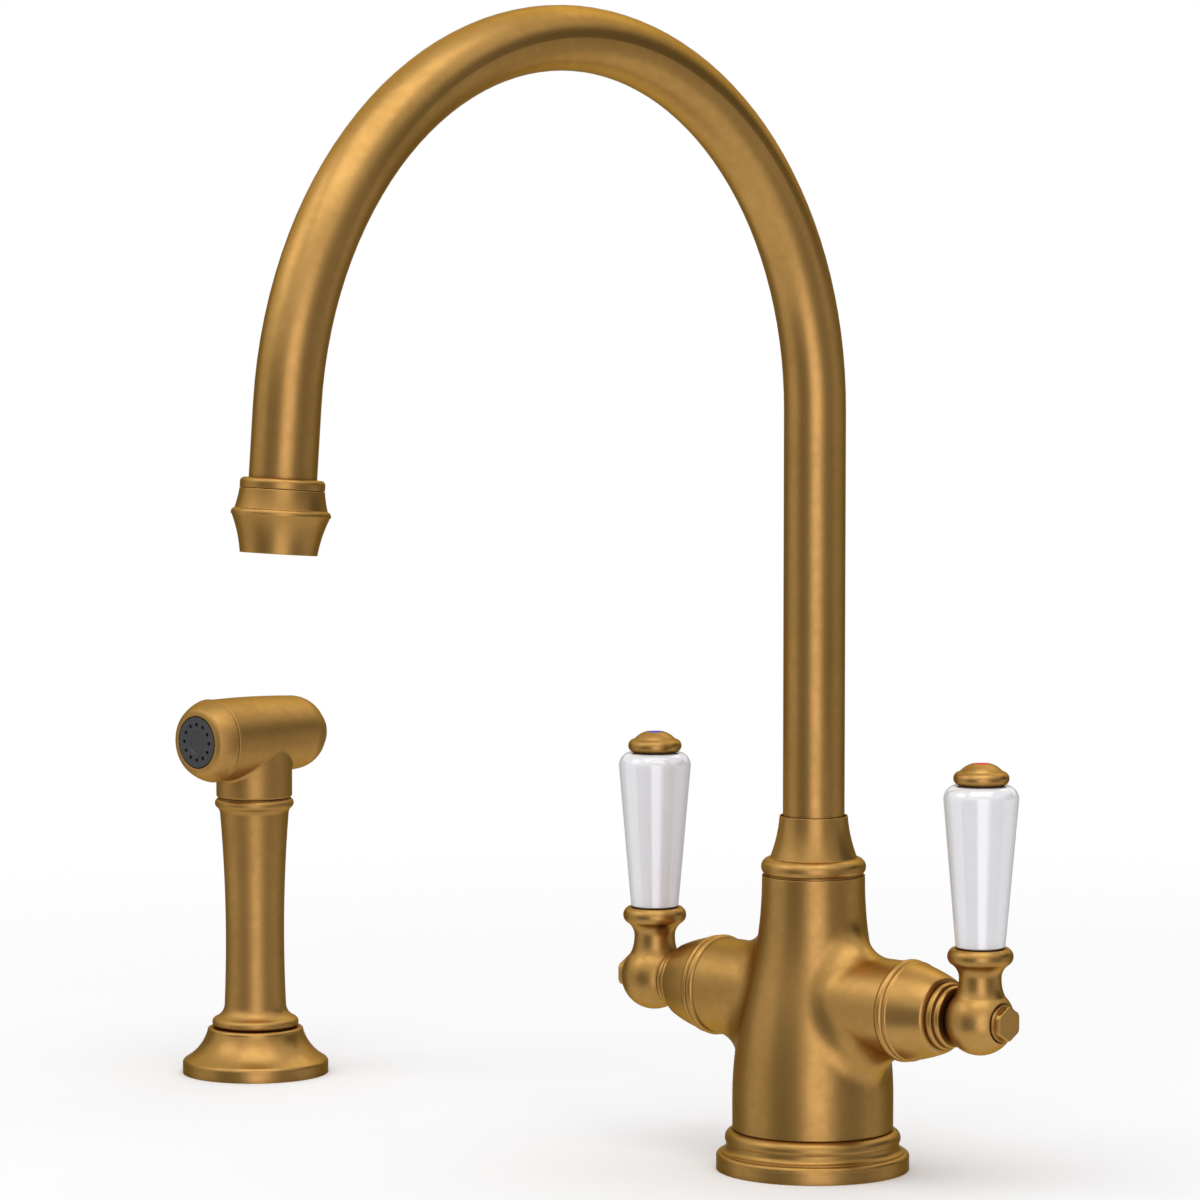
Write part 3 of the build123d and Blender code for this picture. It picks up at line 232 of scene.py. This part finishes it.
@dataclass(frozen=True)
class Finish:
    """A surface finish, made into one material for all the pieces that have it."""

    name: str

    def draw(self, graph: Graph) -> None:
        """Draws the finish in a material's node tree."""
        raise NotImplementedError

    def material(self) -> bpy.types.Material:
        """The finish's material, which is made when it is first asked for."""
        found = bpy.data.materials.get(f"finish_{self.name}")
        if found is None:
            found = bpy.data.materials.new(f"finish_{self.name}")
            found.use_nodes = True
            self.draw(Graph(found.node_tree))
        return found


@dataclass(frozen=True)
class AgedBrass(Finish):
    """Satin brass, darkened by hand, rubbed back on its edges and left brown in its grooves; the bright
    edges are partly painted highlight, and the brown grooves and joints are partly painted shade.
    """

    bright: Colour = (0.445, 0.252, 0.076)
    toned: Colour = (0.365, 0.205, 0.058)
    # brown of the patina, and of the painted shade in grooves and between pieces
    patina_and_shade: Colour = (0.085, 0.026, 0.005)
    # brighter brass of the rubbed edges, which also serves as a painted highlight
    rubbed_and_highlight: Colour = (0.56, 0.325, 0.105)
    glancing: Colour = (0.70, 0.55, 0.35)
    roughness: float = 0.36
    edge_radius: float = 0.00045
    patina_and_shade_reach: float = 0.004
    cloud_scale: float = 26.0
    mottle_scale: float = 310.0
    grain_scale: float = 2600.0
    relief_depth: float = 0.00002
    relief_share: float = 0.16
    rubbed_and_highlight_share: float = 0.55
    patina_and_shade_share: float = 0.85

    def draw(self, graph: Graph) -> None:
        """Draws toning, mottle, blasted grain, brown grooves with painted shade and rubbed edges with
        painted highlight.
        """
        place = graph.place()
        cloud = graph.noise(place, self.cloud_scale, 3.0)
        mottle = graph.noise(place, self.mottle_scale, 4.0, 0.6)
        grain = graph.noise(place, self.grain_scale, 2.0)
        rounded = graph.soft_edges(self.edge_radius)
        shelter = graph.shelter(self.patina_and_shade_reach)
        # painted shade, with patina: brown wherever the point is boxed in, in grooves and between
        # pieces
        patina_and_shade = shelter.rise(0.26, 0.78)
        edge = graph.on_edge(rounded) * (1.0 - shelter.rise(0.05, 0.4))
        toning = (0.65 * cloud + 0.35 * mottle).rise(0.34, 0.66)
        colour = graph.mix(toning, self.bright, self.toned)
        # rubbed wear and painted highlight: open edges turn a brighter brass
        colour = graph.mix(self.rubbed_and_highlight_share * edge, colour, self.rubbed_and_highlight)
        colour = graph.mix(self.patina_and_shade_share * patina_and_shade, colour, self.patina_and_shade)
        rough = self.roughness + 0.09 * (mottle - 0.5) + 0.06 * (cloud - 0.5)
        rough = rough + 0.16 * patina_and_shade - 0.07 * edge
        relief = 0.6 * grain + 0.4 * mottle
        normal = graph.bump(relief, self.relief_depth, self.relief_share, rounded)
        sockets = {"Base Color": colour, "Metallic": 1.0, "Roughness": rough, "Normal": normal}
        graph.surface({**sockets, "Specular Tint": self.glancing})


@dataclass(frozen=True)
class TurnedBrass(Finish):
    """Clean brass straight from the lathe, for the works inside."""

    bright: Colour = (0.60, 0.41, 0.17)
    dull: Colour = (0.48, 0.31, 0.11)
    roughness: float = 0.27
    marks_scale: Point = (60.0, 60.0, 5200.0)
    tarnish_scale: float = 120.0
    marks_depth: float = 0.00002

    def draw(self, graph: Graph) -> None:
        """Draws fine turning marks and a little tarnish."""
        marks = graph.noise(graph.stretched(self.marks_scale), 1.0, 2.0)
        tarnish = graph.noise(graph.place(), self.tarnish_scale, 3.0)
        colour = graph.mix(tarnish.rise(0.35, 0.7), self.bright, self.dull)
        rough = self.roughness + 0.12 * (marks - 0.5) + 0.08 * (tarnish - 0.5)
        normal = graph.bump(marks, self.marks_depth, 0.25)
        graph.surface({"Base Color": colour, "Metallic": 1.0, "Roughness": rough, "Normal": normal})


@dataclass(frozen=True)
class GlazedPorcelain(Finish):
    """White porcelain under a clear glaze, a little greyer in slow waves where the glaze runs thin, and
    greyer in its recesses and where it meets other pieces, which is painted shade.
    """

    body: Colour = (0.755, 0.755, 0.77)
    thin_glaze_and_shade: Colour = (0.70, 0.695, 0.69)
    speck: Colour = (0.66, 0.63, 0.58)
    roughness: float = 0.06
    wave_scale: float = 85.0
    pit_scale: float = 900.0
    wave_depth: float = 0.0004
    painted_shade_reach: float = 0.006
    body_ior: float = 1.54
    glaze_ior: float = 1.75
    glaze_roughness: float = 0.03

    def draw(self, graph: Graph) -> None:
        """Draws the glaze's slow waves, painted shade in its recesses and a few faint specks."""
        place = graph.place()
        waves = graph.noise(place, self.wave_scale, 1.0)
        pits = graph.noise(place, self.pit_scale, 2.0)
        # painted shade: grey wherever the porcelain is boxed in by nearby surfaces
        thin_glaze_and_shade = graph.shelter(self.painted_shade_reach).rise(0.25, 0.9)
        colour = graph.mix(0.25 * waves.rise(0.35, 0.7), self.body, self.thin_glaze_and_shade)
        colour = graph.mix(0.5 * thin_glaze_and_shade, colour, self.thin_glaze_and_shade)
        colour = graph.mix(0.5 * pits.rise(0.74, 0.8), colour, self.speck)
        rough = self.roughness + 0.05 * (waves - 0.5)
        normal = graph.bump(waves, self.wave_depth, 0.04)
        sockets = {"Base Color": colour, "Roughness": rough, "Normal": normal, "IOR": self.body_ior}
        glaze = {"Coat Roughness": self.glaze_roughness, "Coat IOR": self.glaze_ior}
        graph.surface({**sockets, "Coat Weight": 1.0, **glaze})


@dataclass(frozen=True)
class Enamel(Finish):
    """Fired enamel of one colour with a soft shine, for an index disc."""

    colour: Colour = (0.5, 0.5, 0.5)
    deep: Colour = (0.3, 0.3, 0.3)
    roughness: float = 0.34
    cloud_scale: float = 240.0
    rim_shade_reach: float = 0.002
    shine: float = 0.05

    def draw(self, graph: Graph) -> None:
        """Draws a gently clouded colour that deepens at the rim, where the deepening is painted shade.
        """
        place = graph.place()
        cloud = graph.noise(place, self.cloud_scale, 3.0)
        # painted shade: the colour deepens where the disc is boxed in at its rim
        painted_rim_shade = graph.shelter(self.rim_shade_reach).rise(0.2, 0.8)
        colour = graph.mix((0.35 * cloud + 0.6 * painted_rim_shade).rise(0.1, 0.7), self.colour, self.deep)
        rough = self.roughness + 0.08 * (cloud - 0.5)
        normal = graph.bump(cloud, 0.0001, 0.06)
        sockets = {"Base Color": colour, "Roughness": rough, "Normal": normal}
        graph.surface({**sockets, "Specular IOR Level": self.shine})


@dataclass(frozen=True)
class Moulded(Finish):
    """A moulded plastic, rubber or fired ceramic: a body colour with a faint grain in it."""

    light: Colour = (0.5, 0.5, 0.5)
    dark: Colour = (0.4, 0.4, 0.4)
    roughness: float = 0.5
    grain_scale: float = 900.0
    grain_depth: float = 0.00004
    cloud_scale: float = 90.0
    hole_shade_reach: float = 0.0012
    hole_shade_share: float = 0.12

    def draw(self, graph: Graph) -> None:
        """Draws the grain, in the colour, in the gloss and as relief, and darkens small holes with
        painted shade.
        """
        place = graph.place()
        cloud = graph.noise(place, self.cloud_scale, 2.0)
        grain = graph.noise(place, self.grain_scale, 3.0)
        colour = graph.mix((0.5 * cloud + 0.5 * grain).rise(0.3, 0.7), self.light, self.dark)
        # painted shade in small holes
        shade = tuple(self.hole_shade_share * level for level in self.dark)
        colour = graph.mix(graph.shelter(self.hole_shade_reach).rise(0.35, 0.7), colour, shade)
        rough = self.roughness + 0.12 * (grain - 0.5) + 0.06 * (cloud - 0.5)
        normal = graph.bump(grain, self.grain_depth, 0.3)
        graph.surface({"Base Color": colour, "Roughness": rough, "Normal": normal})


@dataclass(frozen=True)
class DrawnSteel(Finish):
    """Stainless steel, drawn or turned, with fine lines across it."""

    bright: Colour = (0.60, 0.59, 0.57)
    dull: Colour = (0.46, 0.45, 0.44)
    roughness: float = 0.26
    lines_scale: Point = (4200.0, 120.0, 4200.0)
    cloud_scale: float = 150.0
    lines_depth: float = 0.00002

    def draw(self, graph: Graph) -> None:
        """Draws the lines and a faint unevenness."""
        lines = graph.noise(graph.stretched(self.lines_scale), 1.0, 2.0)
        cloud = graph.noise(graph.place(), self.cloud_scale, 2.0)
        colour = graph.mix((0.4 * lines + 0.6 * cloud).rise(0.3, 0.7), self.bright, self.dull)
        rough = self.roughness + 0.14 * (lines - 0.5)
        normal = graph.bump(lines, self.lines_depth, 0.2)
        graph.surface({"Base Color": colour, "Metallic": 1.0, "Roughness": rough, "Normal": normal})


AGED_BRASS = AgedBrass("aged_brass")
HANDLED_BRASS = AgedBrass("handled_brass", roughness=0.45)
TURNED_BRASS = TurnedBrass("turned_brass")
PORCELAIN = GlazedPorcelain("glazed_porcelain")
RUBBER = Moulded("rubber", (0.022, 0.022, 0.023), (0.014, 0.014, 0.014), 0.62, 1400.0)
ACETAL = Moulded("acetal", (0.76, 0.75, 0.71), (0.70, 0.69, 0.65), 0.38, 1100.0, 0.00002)
ALUMINA = Moulded("alumina", (0.84, 0.82, 0.77), (0.78, 0.76, 0.71), 0.22, 2400.0, 0.00001)
SPRAY_FACE = Moulded("spray_face", (0.030, 0.030, 0.033), (0.022, 0.022, 0.024), 0.48, 1600.0)
STEEL = DrawnSteel("drawn_steel")
RED_ENAMEL = Enamel("red_enamel", (0.74, 0.010, 0.006), (0.50, 0.006, 0.004))
BLUE_ENAMEL = Enamel("blue_enamel", (0.022, 0.008, 0.60), (0.012, 0.005, 0.38))


def dress(finish: Finish, *nodes: str) -> None:
    """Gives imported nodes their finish.

    Args:
        finish: the finish that they take.
        nodes: names of the nodes.
    """
    for name in nodes:
        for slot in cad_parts[name].material_slots:
            slot.material = finish.material()
        LOG.info("%s: %s", name, finish.name)


class Axis(Enum):
    """The way that a spring's coil runs."""

    UP = "z"
    BACK = "y"

    def point(self, centre: Vector, along: float, across: float, turn: float) -> Vector:
        """A point at a distance along the axis and from it, at an angle round it."""
        first, second = across * math.cos(turn), across * math.sin(turn)
        offset = (first, second, along) if self is Axis.UP else (second, along, first)
        return centre + Vector(offset)


@dataclass
class CoilSpring:
    """A compression spring of round wire with a closed coil at each end."""

    name: str
    node: str
    body: str
    joint: str
    axis: Axis
    wire: float
    turns: float
    travel: float
    steps_a_turn: int = 40
    wire_sides: int = 14
    closed_share: float = 0.16
    closed_slope: float = 0.35
    tip_share: float = 0.55
    tip_steps: int = 3

    def _climb(self, share: float) -> float:
        """Height of the wire's middle, from 0 to 1, for a share of the wire's length."""
        ends = self.closed_share
        flat = self.closed_slope
        slope = 1.0 / (1.0 - 2.0 * ends * (1.0 - flat))
        if share < ends:
            return slope * flat * share
        if share > 1.0 - ends:
            return 1.0 - slope * flat * (1.0 - share)
        return slope * (flat * ends + share - ends)

    def build(self) -> bpy.types.Object:
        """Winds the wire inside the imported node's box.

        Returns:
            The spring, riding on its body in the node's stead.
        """
        low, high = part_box(self.node)
        index = 2 if self.axis is Axis.UP else 1
        side = 0 if self.axis is Axis.UP else 2
        length = high[index] - low[index] - self.wire
        radius = (high[side] - low[side] - self.wire) / 2
        centre = (low + high) / 2
        centre[index] = low[index] + self.wire / 2
        count = int(self.turns * self.steps_a_turn)
        mesh = bmesh.new()
        rings = []
        for step in range(count + 1):
            share = step / count
            turn = 2 * math.pi * self.turns * share
            along = length * self._climb(share)
            from_tip = min(step, count - step) / self.tip_steps
            taper = min(1.0, self.tip_share + (1.0 - self.tip_share) * from_tip)
            ring = []
            for spoke in range(self.wire_sides):
                angle = 2 * math.pi * spoke / self.wire_sides
                across = radius + self.wire / 2 * taper * math.cos(angle)
                rise = along + self.wire / 2 * taper * math.sin(angle)
                ring.append(mesh.verts.new(self.axis.point(centre, rise, across, turn)))
            rings.append(ring)
        for lower, upper in zip(rings, rings[1:]):
            for a in range(self.wire_sides):
                b = (a + 1) % self.wire_sides
                mesh.faces.new((lower[a], lower[b], upper[b], upper[a]))
        mesh.faces.new(reversed(rings[0]))
        mesh.faces.new(rings[-1])
        bmesh.ops.recalc_face_normals(mesh, faces=mesh.faces)
        spring = make_object(self.name, mesh, STEEL, self.body)
        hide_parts(self.node)
        anchor = list((low + high) / 2)
        anchor[index] = low[index]
        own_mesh(spring)
        return spring


def make_object(
    name: str, mesh: bmesh.types.BMesh, finish: Finish, body: str
) -> bpy.types.Object:
    """Turns a finished mesh into a piece of the tap.

    Args:
        name: the piece's name.
        mesh: its geometry, which is used up.
        finish: its finish.
        body: the body that it rides on.

    Returns:
        The new object.
    """
    data = bpy.data.meshes.new(name)
    for face in mesh.faces:
        face.smooth = True
    mesh.to_mesh(data)
    mesh.free()
    data.materials.append(finish.material())
    made = bpy.data.objects.new(name, data)
    bpy.context.scene.collection.objects.link(made)
    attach(made, body)
    LOG.info("%s: %s on %s", name, finish.name, body)
    return made


class Side(Enum):
    """Which of the two levers a set of parts belongs to."""

    HOT = "hot"
    COLD = "cold"

    @property
    def enamel(self) -> Enamel:
        """The colour of this side's index disc."""
        return RED_ENAMEL if self is Side.HOT else BLUE_ENAMEL


@dataclass
class TapColumn:
    """The column that stands on the deck: base, body and the spray's diverter inside it."""

    spring_wire: float = 0.0008
    spring_turns: float = 4.0
    diverter_travel: float = 0.004

    def build(self) -> None:
        """Dresses the column and winds the diverter's spring."""
        dress(AGED_BRASS, "base_flange", "mixer_body", "spout_collar")
        dress(TURNED_BRASS, "diverter_cap", "diverter_sleeve")
        dress(ACETAL, "spout_bush", "diverter_plunger")
        dress(RUBBER, "base_seal")
        CoilSpring(
            "diverter_coil",
            "diverter_spring",
            "tap",
            "diverter_slide",
            Axis.UP,
            self.spring_wire,
            self.spring_turns,
            self.diverter_travel,
        ).build()


@dataclass
class SwanNeck:
    """The swivelling spout, with the nozzle and aerator at its end."""

    def build(self) -> None:
        """Dresses the spout."""
        dress(AGED_BRASS, "spout_tube", "outlet_nozzle")
        dress(TURNED_BRASS, "spout_spigot")
        dress(RUBBER, "spout_o_rings", "aerator_washer")
        dress(ACETAL, "aerator")


@dataclass
class Lever:
    """One side's bonnet, ceramic valve and lever with its white grip."""

    side: Side

    def _named(self, *parts: str) -> list[str]:
        """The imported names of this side's parts."""
        return [f"{self.side.value}_{part}" for part in parts]

    def build(self) -> None:
        """Dresses the lever, its bonnet and the valve."""
        dress(AGED_BRASS, *self._named("bonnet", "lever_hub", "lever_finial", "lever_screw"))
        dress(TURNED_BRASS, *self._named("valve_body", "spindle"))
        dress(PORCELAIN, *self._named("lever_grip"))
        dress(ALUMINA, *self._named("fixed_disc", "turning_disc"))
        dress(RUBBER, *self._named("seat_seal", "spindle_o_ring"))
        dress(ACETAL, *self._named("grip_washers"))
        dress(STEEL, *self._named("lever_rod"))
        dress(self.side.enamel, *self._named("index_disc"))


@dataclass
class SideSpray:
    """The rinse spray in its own deck flange, with its face, push button and valve."""

    spring_wire: float = 0.0007
    spring_turns: float = 5.0
    button_travel: float = 0.003

    def build(self) -> None:
        """Dresses the spray and winds the button's spring."""
        dress(AGED_BRASS, "spray_flange", "spray_button")
        dress(HANDLED_BRASS, "spray_stem", "spray_head", "spray_front_ring")
        dress(TURNED_BRASS, "spray_hose_connector")
        dress(ACETAL, "spray_guide_bush")
        dress(SPRAY_FACE, "spray_face")
        dress(RUBBER, "spray_flange_seal", "spray_connector_o_ring")
        dress(RUBBER, "spray_face_gasket", "spray_valve_seal")
        dress(STEEL, "spray_valve_stem")
        CoilSpring(
            "button_coil",
            "spray_button_spring",
            "spray_handset",
            "spray_press",
            Axis.BACK,
            self.spring_wire,
            self.spring_turns,
            self.button_travel,
        ).build()


@dataclass
class PhotoCamera:
    """The camera, at the photograph's place and looking a little down."""

    place: Point = (1.1674, -1.3607, 0.33606)
    heading: tuple[float, float] = (-0.67995, 0.73326)
    pitch: float = -4.802
    lens: float = 167.09
    sensor: float = 36.0
    near: float = 0.05
    far: float = 50.0

    def build(self) -> None:
        """Makes the camera and gives it to the scene."""
        data = bpy.data.cameras.new("photo_camera")
        data.lens = self.lens
        data.sensor_width = self.sensor
        data.clip_start = self.near
        data.clip_end = self.far
        made = bpy.data.objects.new("photo_camera", data)
        made.location = self.place
        level = math.cos(math.radians(self.pitch))
        drop = math.sin(math.radians(self.pitch))
        aim = Vector((self.heading[0] * level, self.heading[1] * level, drop))
        made.rotation_euler = aim.to_track_quat("-Z", "Y").to_euler()
        bpy.context.scene.collection.objects.link(made)
        bpy.context.scene.camera = made


@dataclass(frozen=True)
class Softbox:
    """A soft lamp: where it stands round the camera's line, how large it is and how bright it looks."""

    name: str
    bearing: float
    rise: float
    distance: float
    width: float
    height: float
    radiance: float
    tint: Colour = (1.0, 1.0, 1.0)


@dataclass(frozen=True)
class Flag:
    """A grey card that only reflections see: its bearings, its foot and top, and how bright it is."""

    name: str
    start: float
    end: float
    foot: float
    top: float
    grey: float


@dataclass
class Studio:
    """Plain soft light, a pale floor that fades into white, and the studio's grey sides."""

    toward_camera: tuple[float, float] = (0.67995, -0.73326)
    aim: Point = (-0.05, -0.03, 0.12)
    ambient: float = 0.70
    floor_colour: Colour = (0.95, 0.95, 0.95)
    floor_radius: float = 0.9
    fade_start: float = 0.34
    fade_end: float = 0.85
    floor_sides: int = 96
    floor_roughness: float = 0.75
    paper_scale: float = 700.0
    flag_distance: float = 2.6
    flag_steps: int = 12
    lamps: Sequence[Softbox] = field(
        default_factory=lambda: (
            Softbox("overhead", 0.0, 70.0, 1.9, 1.8, 1.5, 1.5),
            Softbox("front_strip", 5.0, 0.0, 2.3, 1.2, 2.2, 1.06, (1.0, 0.91, 1.12)),
            Softbox("left_key", -80.0, 42.0, 2.2, 1.2, 1.0, 1.25),
            Softbox("back_key", 155.0, 46.0, 2.4, 1.5, 0.8, 1.0),
        )
    )
    flags: Sequence[Flag] = (
        Flag("left_flag", -66.0, -17.0, -1.3, 1.0, 0.25),
        Flag("right_flag", 28.0, 72.0, -1.3, 1.5, 0.31),
        Flag("left_side", -112.0, -66.0, -1.3, 0.7, 0.80),
        Flag("right_side", 72.0, 115.0, -1.3, 0.40, 0.64),
        Flag("right_side_top", 76.0, 125.0, 0.40, 1.7, 0.06),
        Flag("left_back", -160.0, -112.0, -1.3, 0.9, 0.32),
        Flag("right_back", 115.0, 160.0, -1.3, 0.7, 0.32),
        Flag("far_back", 160.0, 200.0, -1.3, 0.9, 0.5),
    )

    def _bearing(self, degrees: float) -> Vector:
        """The level direction at an angle from the camera's line, to its right when positive."""
        ahead = Vector((*self.toward_camera, 0.0))
        right = Vector((-self.toward_camera[1], self.toward_camera[0], 0.0))
        turn = math.radians(degrees)
        return ahead * math.cos(turn) + right * math.sin(turn)

    def _lamp(self, box: Softbox) -> None:
        """Hangs one softbox, facing the tap."""
        data = bpy.data.lights.new(box.name, "AREA")
        data.shape = "RECTANGLE"
        data.size = box.width
        data.size_y = box.height
        data.energy = box.radiance * math.pi * box.width * box.height
        data.color = box.tint
        made = bpy.data.objects.new(box.name, data)
        rise = math.radians(box.rise)
        way = self._bearing(box.bearing) * math.cos(rise) + Vector((0.0, 0.0, math.sin(rise)))
        made.location = Vector(self.aim) + way * box.distance
        made.rotation_euler = (-way).to_track_quat("-Z", "Y").to_euler()
        made.visible_camera = False
        bpy.context.scene.collection.objects.link(made)

    def _staged(
        self, name: str, mesh: bmesh.types.BMesh, material: bpy.types.Material
    ) -> bpy.types.Object:
        """Adds an object that belongs to the studio."""
        data = bpy.data.meshes.new(name)
        mesh.to_mesh(data)
        mesh.free()
        data.materials.append(material)
        made = bpy.data.objects.new(name, data)
        bpy.context.scene.collection.objects.link(made)
        return made

    def _flag(self, card: Flag) -> None:
        """Stands one curved grey card at the studio's edge, out of the camera's sight."""
        material = bpy.data.materials.new(card.name)
        material.use_nodes = True
        graph = Graph(material.node_tree)
        glow = graph.node("ShaderNodeEmission", {}, {"Color": (card.grey,) * 3, "Strength": 1.0})
        graph.node("ShaderNodeOutputMaterial", {}, {"Surface": glow})
        mesh = bmesh.new()
        columns = []
        for step in range(self.flag_steps + 1):
            way = self._bearing(card.start + (card.end - card.start) * step / self.flag_steps)
            foot = way * self.flag_distance
            heights = (card.foot, card.top)
            columns.append([mesh.verts.new(foot + Vector((0.0, 0.0, height))) for height in heights])
        for (a, b), (c, d) in zip(columns, columns[1:]):
            mesh.faces.new((a, c, d, b))
        made = self._staged(card.name, mesh, material)
        made.visible_camera = False
        made.visible_diffuse = False
        made.visible_shadow = False

    def _floor(self) -> None:
        """Lays the floor, a disc that fades out before the frame's far edge."""
        material = bpy.data.materials.new("pale_floor")
        material.use_nodes = True
        graph = Graph(material.node_tree)
        place = graph.place()
        paper = graph.noise(place, self.paper_scale, 2.0)
        length = {"operation": "LENGTH"}
        distance = graph.node("ShaderNodeVectorMath", length, {0: place}, output="Value")
        rough = self.floor_roughness + 0.1 * paper
        sockets = {"Base Color": self.floor_colour, "Roughness": rough, "Specular IOR Level": 0.1}
        matt = graph.node("ShaderNodeBsdfPrincipled", {}, sockets)
        clear = graph.node("ShaderNodeBsdfTransparent")
        fade = distance.rise(self.fade_start, self.fade_end)
        shown = graph.node("ShaderNodeMixShader", {}, {0: fade, 1: matt, 2: clear})
        graph.node("ShaderNodeOutputMaterial", {}, {"Surface": shown})
        mesh = bmesh.new()
        bmesh.ops.create_circle(
            mesh, cap_ends=True, segments=self.floor_sides, radius=self.floor_radius
        )
        self._staged("pale_floor", mesh, material).visible_glossy = False

    def _world(self) -> None:
        """Makes the surround: white to look at and in reflections, dimmer as light."""
        world = bpy.data.worlds.new("studio")
        world.use_nodes = True
        graph = Graph(world.node_tree)
        camera = graph.node("ShaderNodeLightPath", output="Is Camera Ray")
        seen = camera.larger(camera.also("Is Glossy Ray")).larger(camera.also("Is Transmission Ray"))
        strength = self.ambient + (1.0 - self.ambient) * seen
        sky = graph.node("ShaderNodeBackground", {}, {"Color": (1.0, 1.0, 1.0), "Strength": strength})
        graph.node("ShaderNodeOutputWorld", {}, {"Surface": sky})
        bpy.context.scene.world = world

    def build(self) -> None:
        """Sets up the world, the floor, the lamps and the grey cards."""
        bpy.context.scene.view_settings.view_transform = "Standard"
        self._world()
        self._floor()
        for box in self.lamps:
            self._lamp(box)
        for card in self.flags:
            self._flag(card)


def write_sizes() -> None:
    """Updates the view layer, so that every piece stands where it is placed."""
    bpy.context.view_layer.update()


def main() -> None:
    """Builds the camera, the studio and each sub-assembly in turn."""
    logging.basicConfig(level=logging.INFO, format="%(name)s %(message)s")
    PhotoCamera().build()
    Studio().build()
    assemblies = (TapColumn(), SwanNeck(), Lever(Side.HOT), Lever(Side.COLD), SideSpray())
    for assembly in assemblies:
        LOG.info("building %s", type(assembly).__name__)
        assembly.build()
    write_sizes()


if __name__ == "__main__":
    main()
